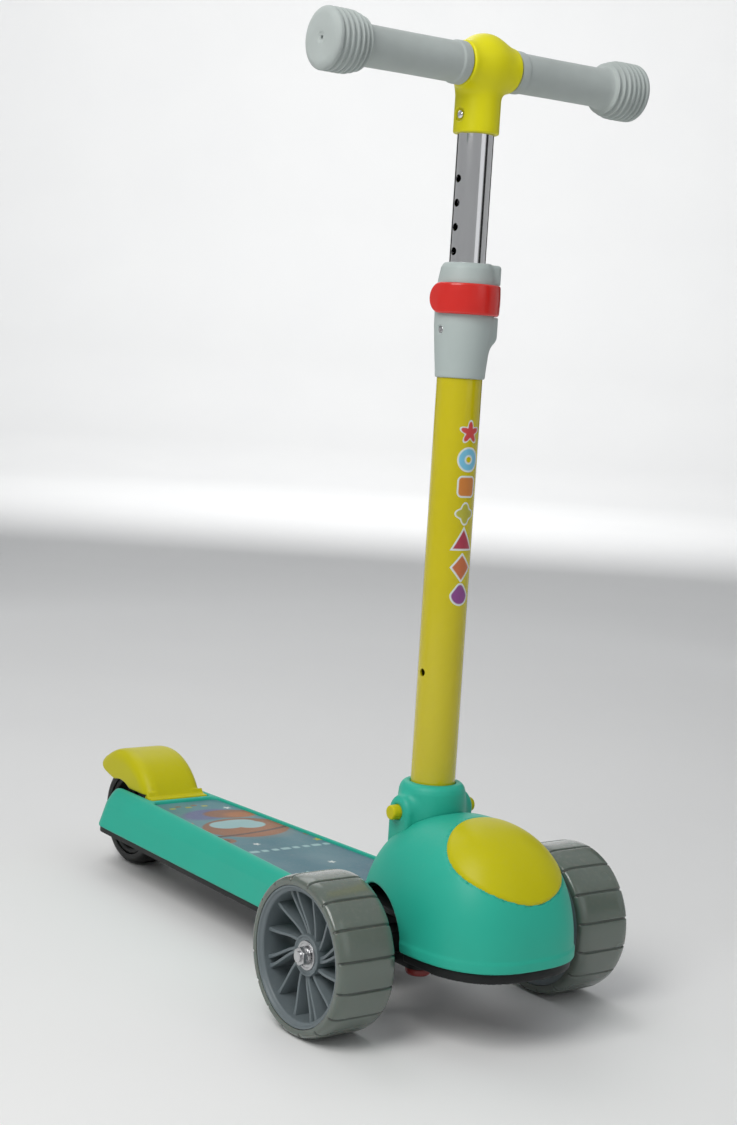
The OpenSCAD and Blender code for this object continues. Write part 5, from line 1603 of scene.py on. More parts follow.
@dataclass
class Stem:
    """The socket with its two release buttons, and the painted lower tube."""

    at: Layout
    finishes: Finishes
    base_z: float = 88.0
    top_z: float = 175.0
    radius: float = 28.0
    ear_half: float = 12.5
    ear_reach: float = 32.5
    button_z: float = 153.0
    button_r: float = 5.8
    reach: float = 40.0
    tube_r: float = 17.5
    tube_top: float = 560.0
    vent_z: float = 261.0

    def socket(self, x: Array, y: Array, z: Array) -> Array:
        """Signed distance to the socket.

        Args:
            x, y, z: Where, in mm.

        Returns:
            The distance, negative inside.
        """
        dx, r = x - self.at.stem_x, np.hypot(x - self.at.stem_x, y)
        width = np.interp(z, (88, 93, 95, 132, 148, 163, 168.5, 171.5, 175),
                          (26.8, 26.8, 28, 28, 27.2, 26.4, 25.9, 24.9, 22.6))
        body = both(both((r - width) * 0.97, z - self.top_z, 2.6), self.base_z - z, 0.6)
        ear = np.where(z > self.button_z, disc(dx, z - self.button_z, self.ear_half), np.abs(dx) - self.ear_half)
        ear = both(both(ear, np.abs(y) - self.ear_reach, 4.2), 110 - z, 1.0)
        boss = both(disc(dx, z - self.button_z, 9.2), np.abs(y) - self.ear_reach - 0.3, 1.2)
        body = union(union(body, ear, 6.0), boss, 1.5)
        body = carve(body, np.maximum(r - self.tube_r - 0.05, 91 - z), 1.6)
        hole = disc(dx, z - self.button_z, self.button_r + 0.12)
        pocket = np.maximum(disc(dx, z - self.button_z, 8.0), np.abs(y) - 24.5)
        return carve(carve(body, pocket), hole, 0.9)

    def button(self, side: Side) -> None:
        """Builds one release button with its rounded head.

        Args:
            side: Which side it is on.
        """
        r = self.button_r
        outline = rounded([(0, 21.4, 0), (3.5, 21.4, 0.3), (3.5, 22.2, 0), (7.6, 22.2, 0.4), (7.6, 24.2, 0.4),
                           (r, 24.2, 0.2), (r, self.reach - 0.1, 2.8), (3.0, self.reach, 1.2), (0, self.reach, 0)],
                          False, 6)
        verts, faces = lathe(outline, False, 64)
        name = side.name.lower()
        body = Body.RELEASE_LEFT if side is Side.LEFT else Body.RELEASE_RIGHT
        place = (self.at.stem_x, 0.0, self.button_z)
        ride(make(f"release_button_{name}", lay(verts, place, side), faces, self.finishes["yellow_moulding"],
                  sharp=50, outward=True), body, [f"button_{name}"])

    def tube(self) -> None:
        """Builds the painted tube with its vent hole."""
        r, top = self.tube_r, self.tube_top
        outline = rounded([(r, 91.0, 0.5), (r, top, 0.5), (r - 1.5, top, 0.5), (r - 1.5, 91.0, 0.5)], True, 3)
        verts, faces = lathe(outline, True, 160)
        obj = make("stem_tube_painted", stand(verts, (self.at.stem_x, 0, 0)), faces, self.finishes["stem_paint"],
                   outward=True)
        x = self.at.stem_x
        drill(obj, [((x, -r, self.vent_z), Vector((0, 1, 0)), 3.0, 12.0),
                    ((x, 0, self.button_z), Vector((0, 1, 0)), 4.05, 40.0),
                    ((x, 0, 523.0), Vector((0, 1, 0)), 1.7, 40.0),
                    ((x, 16.5, 546.7), Vector((0, 1, 0)), 6.1, 8.0)])
        smooth(obj.data, 30)
        ride(obj, Body.DECK, ["stem_tube"])

    def print_shape(self, kind: str, across: Array, up: Array) -> Array:
        """Signed distance, nearly, to one printed shape about its own middle.

        Args:
            kind: The shape's name.
            across: Distance round the tube.
            up: Distance up the tube.

        Returns:
            Signed distances.
        """
        r, a = np.hypot(across, up), np.arctan2(up, across)
        if kind == "star":
            return r - 8.2 * (0.74 + 0.26 * np.cos(5 * (a - math.pi / 2)))
        if kind == "ring":
            return np.abs(r - 5.9) - 2.3
        if kind == "drop":
            return both(r - 7.4, np.abs(across) * 0.8 + (up - 9.5) * 0.6, 1.0)
        if kind == "diamond":
            return (np.abs(across) + np.abs(up) * 0.85 - 8.0) * 0.7
        if kind == "clover":
            return r - 7.6 * (0.82 + 0.18 * np.cos(4 * a))
        if kind == "triangle":
            return np.maximum(np.abs(across) * 0.87 + up * 0.5 - 4.2, -up - 6.2)
        return plate(across, up, 7.0, 7.0, 2.8)

    def decal(self) -> None:
        """Builds the printed film on the front of the tube: seven plain shapes, each edged in white."""
        kinds = (("star", Ink.RED), ("ring", Ink.LIGHT_BLUE), ("disc", Ink.ORANGE), ("clover", Ink.YELLOW),
                 ("triangle", Ink.CRIMSON), ("diamond", Ink.RUST), ("drop", Ink.VIOLET))
        top, pitch = 447.0, 20.6
        for i, (kind, ink) in enumerate(kinds):
            middle = top - i * pitch
            n = 46
            grid = np.linspace(-11.2, 11.2, n)
            ga, gu = np.meshgrid(grid, grid, indexing="ij")
            d = self.print_shape(kind, ga.ravel(), gu.ravel()).reshape(n, n)
            inside = d < 1.7
            cell = inside[:-1, :-1] | inside[1:, :-1] | inside[1:, 1:] | inside[:-1, 1:]
            eps = 0.05
            flat = np.stack([ga.ravel(), gu.ravel()], 1)
            for _ in range(4):
                dist = self.print_shape(kind, flat[:, 0], flat[:, 1]) - 1.35
                gx = (self.print_shape(kind, flat[:, 0] + eps, flat[:, 1]) - 1.35 - dist) / eps
                gy = (self.print_shape(kind, flat[:, 0], flat[:, 1] + eps) - 1.35 - dist) / eps
                out = dist > 0
                size = np.maximum(gx**2 + gy**2, 0.2)
                flat[out, 0] -= (dist * gx / size)[out]
                flat[out, 1] -= (dist * gy / size)[out]
            number = np.full(n * n, -1)
            faces = []
            for p, q in np.argwhere(cell):
                faces.append([p * n + q, (p + 1) * n + q, (p + 1) * n + q + 1, p * n + q + 1])
            used = np.unique(np.array(faces))
            number[used] = np.arange(len(used))
            quads = number[np.array(faces)]
            pts = flat[used]
            half = len(used)

            def wrap(radius: float, points: Array = pts, middle: float = middle) -> Array:
                """Wraps the flat points on the tube's front.

                Args:
                    radius: Distance from the tube's axis, in mm.
                    points: The flat points, in mm.
                    middle: Height of the shape's middle, in mm.

                Returns:
                    The wrapped points, in mm.
                """
                angle = points[:, 0] / self.tube_r
                return np.stack([self.at.stem_x + radius * np.cos(angle), radius * np.sin(angle),
                                 points[:, 1] + middle], 1)

            verts = np.concatenate([wrap(self.tube_r + 0.09), wrap(self.tube_r - 0.05)])
            edges: dict[tuple[int, int], int] = {}
            for row in quads:
                for a, b in zip(row, np.roll(row, -1)):
                    edges[(a, b)] = edges.get((a, b), 0) + 1
            rim = [[b, a, a + half, b + half] for a, b in edges if (b, a) not in edges]
            all_faces = quads.tolist() + (quads[:, ::-1] + half).tolist() + rim
            obj = make(f"stem_print_{i + 1}_{kind}", verts, all_faces, self.finishes["stem_print"], sharp=60,
                       outward=True)
            co = np.array([v.co for v in obj.data.vertices]) / MM
            across = np.arctan2(co[:, 1], co[:, 0] - self.at.stem_x) * self.tube_r
            cover = np.clip(0.5 - self.print_shape(kind, across, co[:, 2] - middle) / 0.5, 0, 1)[:, None]
            dye(obj, "print", np.array(Ink.WHITE.value) * (1 - cover) + np.array(ink.value) * cover)
            ride(obj, Body.DECK)

    def build(self) -> None:
        """Builds the socket, buttons, tube and print."""
        x = self.at.stem_x
        verts, faces = skin(self.socket, (x - 29.5, -34.5, 86), (x + 29.5, 34.5, 177), (0.95, 0.95, 0.95))
        ride(make("stem_socket_collar", verts, faces, self.finishes["teal_moulding"]), Body.DECK,
             ["stem_socket"])
        for side in Side:
            self.button(side)
        self.tube()
        self.decal()


# ------------------------------------------------------------------ height clamp


@dataclass
class HeightClamp:
    """The grey clamp body with its red lever."""

    at: Layout
    finishes: Finishes
    bottom: float = 487.0
    top: float = 574.0
    radius: float = 22.4
    lever_z: float = 535.0
    lever_h: float = 23.4
    lever_t: float = 3.5
    screw_z: float = 523.0
    pin_y: float = 23.5
    barrel: float = 4.6

    def solid(self, x: Array, y: Array, z: Array) -> Array:
        """Signed distance to the clamp's body.

        Args:
            x, y, z: Where, in mm.

        Returns:
            The distance, negative inside.
        """
        dx, r = x - self.at.stem_x, np.hypot(x - self.at.stem_x, y)
        width = np.interp(z, (487, 489.5, 492, 509, 527, 547, 560, 570, 574),
                          (18.9, 19.2, 19.3, 20.8, 22.2, 22.4, 21.3, 19.6, 17.4))
        body = both(both((r - width) * 0.97, z - self.top, 1.8), self.bottom - z, 1.6)
        lug = plate(dx - 0.8, y - 13, 11.2, 13.9, 5.5)
        under = (y - self.radius) * math.sin(math.radians(40)) - (z - 514.5) * math.cos(math.radians(40))
        lug = both(both(lug, under, 2.5), span(z, 505, self.top - 0.1), 3.2)
        body = union(body, lug, 3.0)
        low, high = self.lever_z - 0.4, self.lever_z + self.lever_h + 0.4
        room = np.maximum(np.maximum(span(z, low, high), -8 - dx), np.maximum(self.radius - r, -y))
        body = carve(body, room, 1.0)
        seat = np.maximum(disc(dx, y - self.pin_y, self.barrel + 0.3), span(z, low, high))
        body = carve(body, seat, 0.8)
        bore = np.minimum(np.maximum(r - 17.5, z - 560), r - 14.05)
        body = carve(body, bore, 0.8)
        screw = np.maximum(disc(dx, z - self.screw_z, 2.75), 20.35 - np.abs(y))
        pad = np.maximum(plate(dx, z - 546.7, 4.1, 4.6, 0.3), span(y, 10, 19))
        return carve(carve(body, screw, 0.9), pad)

    def lever(self, x: Array, y: Array, z: Array) -> Array:
        """Signed distance to the lever.

        Args:
            x, y, z: Where, in mm.

        Returns:
            The distance, negative inside.
        """
        dx, r, middle = x - self.at.stem_x, np.hypot(x - self.at.stem_x, y), self.lever_z + self.lever_h / 2
        inner = self.radius + 0.6
        half = self.lever_h / 2
        swell = 0.5 * np.clip(1 - ((z - middle) / half) ** 2, 0, 1)
        band = np.maximum(np.maximum(r - inner - self.lever_t - swell, inner - r), -dx)
        tail = np.maximum(span(dx, -10, 0.5), span(y, -inner - self.lever_t - swell, -inner))
        tip = np.where(dx < 1.7, np.hypot(dx - 1.7, z - middle) - half, np.abs(z - middle) - half)
        tip = np.where(y > 0, np.abs(z - middle) - half, tip)
        sheet = both(np.minimum(band, tail), tip, 2.0)
        barrel = both(disc(dx, y - self.pin_y, self.barrel), np.abs(z - middle) - half, 1.2)
        return carve(union(sheet, barrel, 1.6), disc(dx, y - self.pin_y, 2.05), 0.4)

    def screws(self) -> None:
        """Builds the two small recessed screws with their cross slots."""

        def screw(x: Array, y: Array, z: Array) -> Array:
            """Signed distance to both screws.

            Args:
                x, y, z: Where, in mm.

            Returns:
                The distance, negative inside.
            """
            dx, dz, ay = x - self.at.stem_x, z - self.screw_z, np.abs(y)
            head = both(disc(dx, dz, 2.6), ay - 21.8 + 0.06 * (dx * dx + dz * dz), 0.5)
            head = np.maximum(head, 20.4 - ay)
            cross = np.minimum(plate(dx, dz, 1.7, 0.36, 0.1), plate(dx, dz, 0.36, 1.7, 0.1))
            shank = np.maximum(disc(dx, dz, 1.7), span(ay, 14.4, 20.6))
            return np.minimum(carve(head, np.maximum(cross, 21.0 - ay)), shank)

        for side in Side:
            low, high = sorted((13.8 * side.value, 22.4 * side.value))
            verts, faces = skin(screw, (self.at.stem_x - 3.2, low, self.screw_z - 3.2),
                                (self.at.stem_x + 3.2, high, self.screw_z + 3.2), (0.22, 0.3, 0.22))
            obj = make(f"clamp_screw_{side.name.lower()}", verts, faces, self.finishes["zinc_plate"], sharp=45)
            ride(obj, Body.DECK, ["clamp_screws"])

    def build(self) -> None:
        """Builds the clamp's pieces."""
        x = self.at.stem_x
        verts, faces = skin(self.solid, (x - 24, -24, self.bottom - 2), (x + 24, 30, self.top + 2), (0.9, 0.9, 0.9))
        ride(make("clamp_moulding", verts, faces, self.finishes["grey_moulding"]), Body.DECK,
             ["clamp_body"])
        verts, faces = skin(self.lever, (x - 12, -28.5, self.lever_z - 1),
                            (x + 28.5, 30, self.lever_z + self.lever_h + 1),
                            (0.62, 0.62, 0.62))
        ride(make("quick_release_lever", verts, faces, self.finishes["red_moulding"]), Body.LEVER,
             ["clamp_lever"])
        self.screws()
        low = self.lever_z - 8
        outline = rounded([(0, low, 0), (2, low, 0.4), (2, self.top, 0.7), (0, self.top, 0)], False)
        verts, faces = lathe(outline, False, 40)
        ride(make("lever_hinge_pin", stand(verts, (x, self.pin_y, 0)), faces, self.finishes["zinc_plate"], sharp=45,
                  outward=True), Body.DECK, ["lever_pin"])


# ------------------------------------------------------------------ handlebar


@dataclass
class Handlebar:
    """The chromed tube, the T joint and the two ribbed grips."""

    at: Layout
    finishes: Finishes
    tube_r: float = 14.0
    tube_low: float = 335.0
    tube_high: float = 706.0
    hole_top: float = 636.0
    hole_pitch: float = 18.0
    holes: int = 8
    joint_low: float = 670.0
    joint_half: float = 23.5
    head_r: float = 22.3
    head_at: tuple[float, float] = (3.0, 2.7)
    leg_r: float = 17.4
    arm_r: float = 16.9
    rivet_z: float = 683.0
    half: float = 150.0
    grip_r: float = 15.0
    end_r: float = 22.5
    end_len: float = 34.0
    ribs: int = 6

    def tube(self) -> None:
        """Builds the chromed tube with its row of index holes."""
        r = self.tube_r
        outline = rounded([(r, self.tube_low, 0.5), (r, self.tube_high, 0.4), (r - 1.5, self.tube_high, 0.4),
                           (r - 1.5, self.tube_low, 0.4)], True, 3)
        verts, faces = lathe(outline, True, 160)
        obj = make("bar_tube_chromed", stand(verts, (self.at.stem_x, 0, 0)), faces, self.finishes["chrome_plate"],
                   outward=True)
        x = self.at.stem_x
        drill(obj, [((x, -r, self.hole_top - i * self.hole_pitch), Vector((0, 1, 0)), 3.0, 12.0)
                    for i in range(self.holes)] + [((x, 0, self.rivet_z), Vector((0, 1, 0)), 1.7, 40.0)])
        smooth(obj.data, 30)
        ride(obj, Body.BAR, ["inner_tube"])

    def joint(self, x: Array, y: Array, z: Array) -> Array:
        """Signed distance to the T joint.

        Args:
            x, y, z: Where, in mm.

        Returns:
            The distance, negative inside.
        """
        a, ay = self.at, np.abs(y)
        dx, dz = x - a.bar_x, z - a.bar_z
        leg = both(disc(x - a.stem_x, y, self.leg_r), span(z, self.joint_low, a.bar_z), 1.6)
        head = np.sqrt((x - a.stem_x - self.head_at[0]) ** 2 + y * y + (dz - self.head_at[1]) ** 2) - self.head_r
        arms = both(np.hypot(dx, dz) - self.arm_r, ay - self.joint_half, 2.6)
        body = union(union(leg, head, 10.0), arms, 6.0)
        body = both(body, ay - self.joint_half, 1.6)
        bar = np.hypot(dx, dz) - 11.0
        body = carve(body, np.maximum(disc(x - a.stem_x, y, self.tube_r), z - self.tube_high), 1.0)
        body = carve(body, bar, 0.8)
        rivet = np.maximum(disc(x - a.stem_x, z - self.rivet_z, 5.0), 15.0 - ay)
        return carve(body, rivet, 1.0)

    def rivets(self) -> None:
        """Builds the two domed rivets in their recesses."""
        outline = rounded([(0, 11.6, 0), (1.7, 11.6, 0.3), (1.7, 15.4, 0), (3.4, 15.4, 0.4), (3.1, 16.5, 1.2),
                           (1.4, 17.5, 1.0), (0, 17.6, 0)], False, 5)
        parts = []
        for side in Side:
            v, f = lathe(outline, False, 48)
            parts.append((lay(v, (self.at.stem_x, 0, self.rivet_z), side), f))
        verts, faces = merge("rivets", parts)
        ride(make("joint_rivets_domed", verts, faces, self.finishes["chrome_plate"], sharp=45, outward=True),
             Body.BAR, ["t_rivets"])

    def grip(self, side: Side) -> None:
        """Builds one grip: a plain hand part and a ribbed, flared end with a vent hole.

        Args:
            side: Which side it is on.
        """
        r, half, start = self.grip_r, self.half, self.half - self.end_len
        outline = rounded([(11.02, 23.8, 0), (r + 1.0, 23.8, 1.0), (r + 1.0, 31.1, 1.2), (r + 0.1, 32.5, 0.8),
                           (r, 35.0, 0), (r - 0.15, 70, 0), (r, start - 4, 0)], False)
        steps = self.ribs * 14
        for i in range(steps + 1):
            t = i / steps
            swell = r + 2.6 + (self.end_r - 0.75 - r - 2.6) * math.sin(math.radians(90 * min(1.0, t * 1.5)))
            wave = math.cos(2 * math.pi * self.ribs * t + math.pi)
            ridge = 1.25 * (math.copysign(abs(wave) ** 0.75, wave))
            outline.append((min(swell + ridge, self.end_r), start + (self.end_len - 6.5) * t))
        outline += rounded([(self.end_r - 2.2, half - 6.4, 0), (self.end_r, half - 5.2, 0.8),
                            (self.end_r - 0.2, half - 2.0, 2.2), (self.end_r - 4.5, half, 1.8), (4.2, half, 0.8),
                            (3.2, half - 0.8, 0.6), (1.5, half - 1.0, 0.4), (1.5, half - 5, 0), (11.02, half - 5, 0)],
                           False)
        verts, faces = lathe(outline, True, 112)
        name = side.name.lower()
        place = (self.at.bar_x, 0.0, self.at.bar_z)
        ride(make(f"grip_{name}_ribbed", lay(verts, place, side), faces, self.finishes["grip_rubber"], sharp=60,
                  outward=True), Body.BAR, [f"grip_{name}"])

    def build(self) -> None:
        """Builds the handlebar's pieces."""
        a = self.at
        self.tube()
        verts, faces = skin(self.joint, (a.stem_x - 20, -28, self.joint_low - 2),
                            (a.bar_x + 27, 28, a.bar_z + 27), (0.9, 0.9, 0.9))
        # the T joint takes the brighter yellow copy, which is painted light
        ride(make("t_joint_moulding", verts, faces, self.finishes["yellow_joint"]), Body.BAR,
             ["t_joint"])
        self.rivets()
        for side in Side:
            self.grip(side)


# ------------------------------------------------------------------ hardware


@dataclass
class Hardware:
    """Nuts, screws, bumpers and the CAD pieces that keep their own shape."""

    at: Layout
    finishes: Finishes
    nut_flat: float = 12.5
    nut_from: float = 129.55
    bumper_x: float = 26.0
    bumper_y: float = 44.0

    def axle_nuts(self) -> None:
        """Builds the two domed axle nuts, each with the threaded end in its middle."""
        a = self.at

        def nut(x: Array, y: Array, z: Array) -> Array:
            """Signed distance to both nuts.

            Args:
                x, y, z: Where, in mm.

            Returns:
                The distance, negative inside.
            """
            dx, dz, up = x - a.front_x, z - a.front_z, np.abs(y) - self.nut_from
            r = np.hypot(dx, dz)
            half = self.nut_flat / 2
            hexagon = np.maximum.reduce([np.abs(dx * math.cos(t) + dz * math.sin(t)) - half
                                         for t in (0, math.pi / 3, 2 * math.pi / 3)])
            top = both(hexagon, up - 6.0, 0.4)
            top = both(top, r + (up - 6.0) * 1.6 - 6.4, 0.6)
            flange = both(r - 6.9, up - 1.4, 0.8)
            end = np.maximum(r - 3.9 + 0.18 * np.cos(up * 2 * math.pi / 1.25), up - 7.1)
            body = union(union(both(top, -up, 0.1), both(flange, -up, 0.1), 0.4), np.maximum(end, -up), 0.2)
            return body

        for side in Side:
            low, high = sorted(((self.nut_from - 0.6) * side.value, (self.nut_from + 8.0) * side.value))
            verts, faces = skin(nut, (a.front_x - 8, low, a.front_z - 8), (a.front_x + 8, high, a.front_z + 8),
                                (0.32, 0.28, 0.32))
            ride(make(f"axle_nut_{side.name.lower()}", verts, faces, self.finishes["zinc_plate"], sharp=40),
                 Body.TRUCK, ["axle_nuts"])

    def screw_at(self, name: str, spots: Sequence[Point], node: str, sizes: tuple[float, float, float, float],
                 seed: int) -> None:
        """Sets cross-head screws, heads down, at each spot.

        Args:
            name: Name of the piece.
            spots: Where each head's underside centre stands.
            node: The CAD node that they stand for.
            sizes: Shank diameter, head diameter, head height and length.
            seed: Seed of the screws' turn.
        """
        d, head, head_h, length = sizes

        def screw(x: Array, y: Array, z: Array) -> Array:
            """Signed distance to one screw.

            Args:
                x, y, z: Where, in mm.

            Returns:
                The distance, negative inside.
            """
            r = np.hypot(x, y)
            pan = both(r - head / 2, -z, 0.7)
            pan = np.maximum(pan, z - head_h)
            cross = np.minimum(plate(x, y, head * 0.3, head / 11, 0.1), plate(x, y, head / 11, head * 0.3, 0.1))
            pan = carve(pan, np.maximum(cross, z - head_h * 0.6), 0.2)
            shank = np.maximum(r - d / 2 - 0.12 * np.cos(z * 2 * math.pi / 1.2), z - length)
            return union(pan, np.maximum(shank, head_h / 2 - z), 0.1)

        reach = head / 2 + 0.6
        cell = head / 22
        verts, faces = skin(screw, (-reach, -reach, -0.6), (reach, reach, length + 0.6), (cell, cell, 0.42))
        tool = make("one_screw", verts, faces, self.finishes["zinc_plate"], sharp=45)
        obj = make(name, np.array(spots), [], self.finishes["zinc_plate"])
        grow(obj, SPOTS, {"Screw": tool, "Turn": 1.5, "Seed": seed, "Finish": self.finishes["zinc_plate"]})
        bpy.data.objects.remove(tool)
        smooth(obj.data, 45)
        ride(obj, Body.DECK, [node])

    def bumpers(self) -> None:
        """Builds the two red urethane bumpers."""
        low = self.at.front_z - 12
        outline = rounded([(0, low - 6, 0), (8.2, low - 6, 2.0), (10, low - 3.5, 1.6), (10, low, 1.2), (7, low, 0.6),
                           (7, low + 8, 0.6), (10, low + 8, 1.4), (9.4, low + 16, 3.0), (10, low + 24, 3.0),
                           (9.4, low + 30, 2.0), (10, low + 36, 1.0), (0, low + 36, 0)], False)
        parts = []
        for side in Side:
            v, f = lathe(outline, False, 64)
            parts.append((stand(v, (self.at.front_x + self.bumper_x, side.value * self.bumper_y, 0)), f))
        verts, faces = merge("bumpers", parts)
        ride(make("steering_bumpers_urethane", verts, faces, self.finishes["red_urethane"], sharp=50, outward=True),
             Body.TRUCK, ["steering_bumpers"])

    def carried_over(self) -> None:
        """Gives each CAD piece that keeps its shape the finish of what it is."""
        finish = {
            "deck_bottom": "black_moulding", "kingpin_bolt": "zinc_plate", "kingpin_nut": "zinc_plate",
            "kingpin_washers": "natural_nylon", "axle_beam": "black_moulding", "front_axle": "zinc_plate",
            "axle_spacers": "zinc_plate", "hub_sleeve_left": "zinc_plate", "hub_sleeve_right": "zinc_plate",
            "rear_bearings": "zinc_plate", "rear_hub_sleeve": "zinc_plate", "rear_axle_bolt": "zinc_plate",
            "rear_axle_nut": "zinc_plate", "rear_spacers": "zinc_plate", "brake_pad": "black_urethane",
            "brake_pin": "zinc_plate", "socket_bolts": "zinc_plate", "lock_spring": "spring_wire",
            "catch_pin_left": "zinc_plate", "catch_pin_right": "zinc_plate", "clamp_pad": "black_urethane",
            "tube_bush": "black_moulding", "crossbar": "chrome_plate"}
        for node, name in finish.items():
            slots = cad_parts[node].data.materials
            for i in range(len(slots)):
                slots[i] = self.finishes[name]
            if not slots:
                slots.append(self.finishes[name])
            log.info("%s keeps its shape in %s", node, name)

    def build(self) -> None:
        """Builds the hardware."""
        a = self.at
        self.axle_nuts()
        self.bumpers()
        posts = [(x, s.value * 38.0, 37.0) for x in Deck(a, self.finishes).posts for s in Side]
        self.screw_at("deck_cover_screws", posts, "deck_screws", (3.4, 7.0, 2.5, 20.0), 3)
        bolts = [(x, s.value * 31.0, 37.0) for x in (a.deck_front_x - 38, a.deck_front_x - 12) for s in Side]
        self.screw_at("frame_joining_bolts", bolts, "frame_bolts", (6.0, 10.0, 3.0, 22.0), 5)
        nose = [(a.front_x + x, s.value * y, 81.5) for x, y in ((-4, 47), (72, 34)) for s in Side]
        self.screw_at("nose_fixing_screws", nose, "nose_screws", (3.4, 7.0, 2.5, 19.5), 11)
        self.carried_over()


# ------------------------------------------------------------------ studio


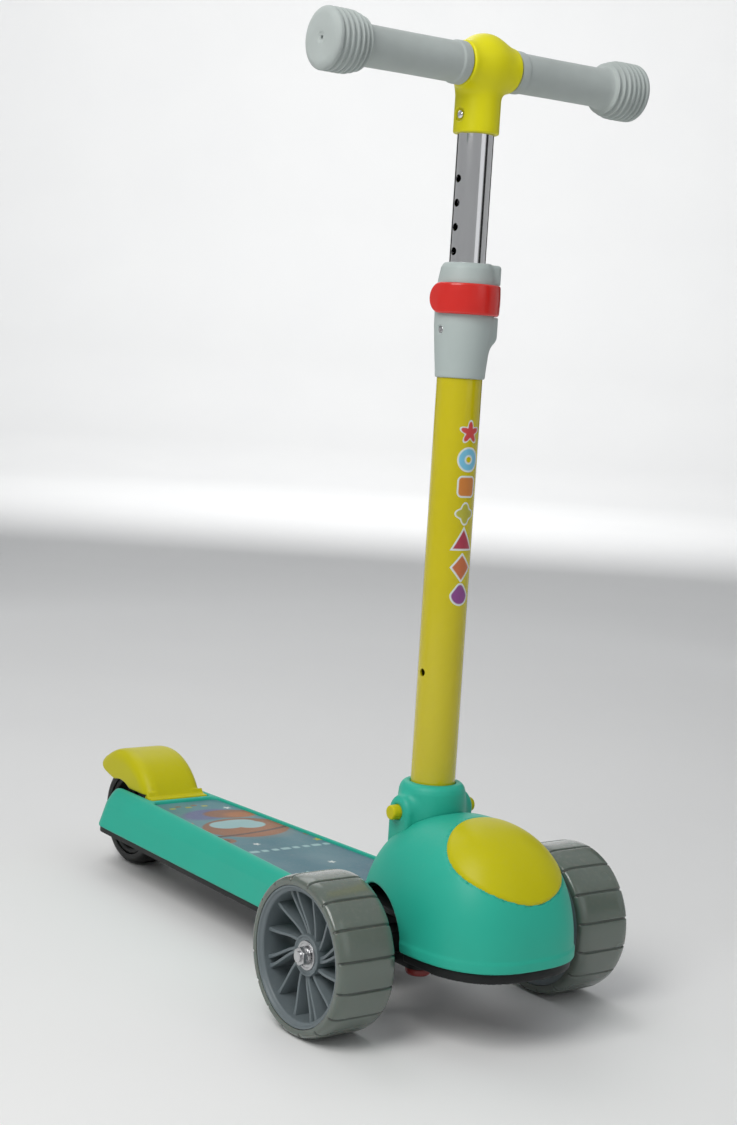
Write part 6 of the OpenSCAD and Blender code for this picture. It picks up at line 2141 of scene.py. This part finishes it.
@dataclass
class Studio:
    """The camera, the pale floor and the soft lights."""

    target: Point = (74.81, 0.0, 333.56)
    distance: float = 1556.08
    azimuth: float = 53.79
    elevation: float = 5.92
    roll: float = 3.56
    lens: float = 61.2545

    def camera(self) -> None:
        """Builds the camera."""
        a, e, t = (math.radians(v) for v in (self.azimuth, self.elevation, self.roll))
        back = Vector((math.sin(a) * math.cos(e), -math.cos(a) * math.cos(e), math.sin(e)))
        right = Vector((math.cos(a), math.sin(a), 0.0))
        up = back.cross(right)
        right, up = right * math.cos(t) + up * math.sin(t), up * math.cos(t) - right * math.sin(t)
        data = bpy.data.cameras.new("camera")
        data.sensor_fit, data.sensor_width, data.lens = "AUTO", 36.0, self.lens
        data.clip_start, data.clip_end = 0.01, 50.0
        obj = bpy.data.objects.new("camera", data)
        place = (Vector(self.target) + back * self.distance) * MM
        obj.matrix_world = Matrix.Translation(place) @ Matrix((right, up, back)).transposed().to_4x4()
        bpy.context.scene.collection.objects.link(obj)
        bpy.context.scene.camera = obj

    def floor(self) -> None:
        """Builds a pale floor that curves up far behind the scooter."""
        mat = bpy.data.materials.new("studio_paper")
        mat.use_nodes = True
        mat.node_tree.nodes.clear()
        w = Wiring(mat.node_tree)
        soft = w.noise(w.add("ShaderNodeTexCoord").outputs["Object"], 3.0, 2.0)
        colour = w.mix(soft, (0.84, 0.84, 0.84, 1), (0.87, 0.87, 0.865, 1))
        shader = w.add("ShaderNodeBsdfPrincipled", {"Base Color": colour, "Roughness": 0.85})
        w.add("ShaderNodeOutputMaterial", {"Surface": shader.outputs[0]})
        n = 48
        verts, faces = [(0.0, 0.0, 0.0)], []
        rings = [600.0, 1500.0, 3500.0, 6000.0, 6800.0, 7400.0, 7800.0, 8000.0, 8000.0]
        heights = [0.0, 0.0, 0.0, 0.0, 120.0, 500.0, 1200.0, 2400.0, 6000.0]
        for r, h in zip(rings, heights):
            verts += [(r * math.cos(2 * math.pi * i / n), r * math.sin(2 * math.pi * i / n), h) for i in range(n)]
        faces += [[0, 1 + i, 1 + (i + 1) % n] for i in range(n)]
        for k in range(len(rings) - 1):
            s = 1 + k * n
            faces += [[s + i, s + n + i, s + n + (i + 1) % n, s + (i + 1) % n] for i in range(n)]
        make("studio_floor", np.array(verts), faces, mat, outward=False)

    def cards(self) -> None:
        """Stands three dark cards beside the main view, for the chrome to show dark edges."""
        mat = bpy.data.materials.new("studio_card")
        mat.use_nodes = True
        mat.node_tree.nodes.clear()
        w = Wiring(mat.node_tree)
        soft = w.noise(w.add("ShaderNodeTexCoord").outputs["Object"], 4.0, 2.0)
        shader = w.add("ShaderNodeBsdfPrincipled", {
            "Base Color": w.mix(soft, (0.02, 0.02, 0.02, 1), (0.035, 0.035, 0.035, 1)), "Roughness": 0.9})
        w.add("ShaderNodeOutputMaterial", {"Surface": shader.outputs[0]})
        for i, (turn, half) in enumerate(((144.0, 12.0), (216.0, 12.0), (74.0, 8.0))):
            a0, a1 = (math.radians(self.azimuth - 90 + turn + s * half) for s in (-1, 1))
            r, low, high, t = 1900.0, 420.0, 1500.0, 8.0
            base = [(r * math.cos(a), r * math.sin(a)) for a in (a0, a1)]
            back = [((r + t) * math.cos(a), (r + t) * math.sin(a)) for a in (a1, a0)]
            ring = base + back
            verts = [(x, y, z) for z in (low, high) for x, y in ring]
            faces = [[0, 1, 2, 3], [7, 6, 5, 4]] + [[k, k + 4, (k + 1) % 4 + 4, (k + 1) % 4] for k in range(4)]
            make(f"studio_card_{i + 1}", np.array(verts), faces, mat, outward=True)

    def light(self, name: str, place: Point, size: tuple[float, float], watts: float, tone: Colour,
              aim: Point = (60.0, 0.0, 320.0)) -> None:
        """Adds one soft light.

        Args:
            name: Its name.
            place: Where it stands, in millimetres.
            size: Its width and height in metres.
            watts: Its power.
            tone: Its colour.
            aim: What it faces.
        """
        data = bpy.data.lights.new(name, "AREA")
        data.shape, data.size, data.size_y = "RECTANGLE", size[0], size[1]
        data.energy, data.color = watts, tone
        obj = bpy.data.objects.new(name, data)
        obj.location = Vector(place) * MM
        obj.rotation_euler = (Vector(aim) - Vector(place)).to_track_quat("-Z", "Y").to_euler()
        bpy.context.scene.collection.objects.link(obj)

    def build(self) -> None:
        """Builds everything round the scooter."""
        self.floor()
        self.light("key_softbox", (600, -1300, 1700), (1.0, 1.3), 23, (1.0, 0.99, 0.97))
        self.light("fill_softbox", (2100, 500, 1500), (1.0, 1.8), 2.5, (0.97, 0.98, 1.0))
        self.light("back_softbox", (-1500, 300, 1900), (1.8, 1.2), 9, (1.0, 1.0, 1.0))
        self.light("backdrop_light", (-3000, 2200, 2600), (2.0, 2.0), 110, (1.0, 1.0, 1.0), (-6500, 4800, 1700))
        self.cards()
        world = bpy.data.worlds.new("studio_air")
        bpy.context.scene.world = world
        world.use_nodes = True
        world.node_tree.nodes["Background"].inputs["Color"].default_value = (0.86, 0.88, 0.9, 1.0)
        world.node_tree.nodes["Background"].inputs["Strength"].default_value = 0.5


SPOKES = spoke_tree()
SPOTS = spots_tree()
COIL = coil_tree()


def main() -> None:
    """Builds the scooter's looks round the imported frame."""
    logging.basicConfig(level=logging.INFO, format="%(name)s: %(message)s")
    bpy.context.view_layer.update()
    bpy.context.scene.view_settings.view_transform = "Standard"
    studio = Studio()
    studio.camera()
    at, finishes = Layout.measured(), Finishes()
    log.info("%s", at)
    Deck(at, finishes).build()
    Nose(at, finishes).build()
    for side in Side:
        FrontWheel(at, finishes, side).build()
    RearWheel(at, finishes).build()
    FootBrake(at, finishes).build()
    Stem(at, finishes).build()
    HeightClamp(at, finishes).build()
    Handlebar(at, finishes).build()
    Hardware(at, finishes).build()
    studio.build()


if __name__ == "__main__":
    main()
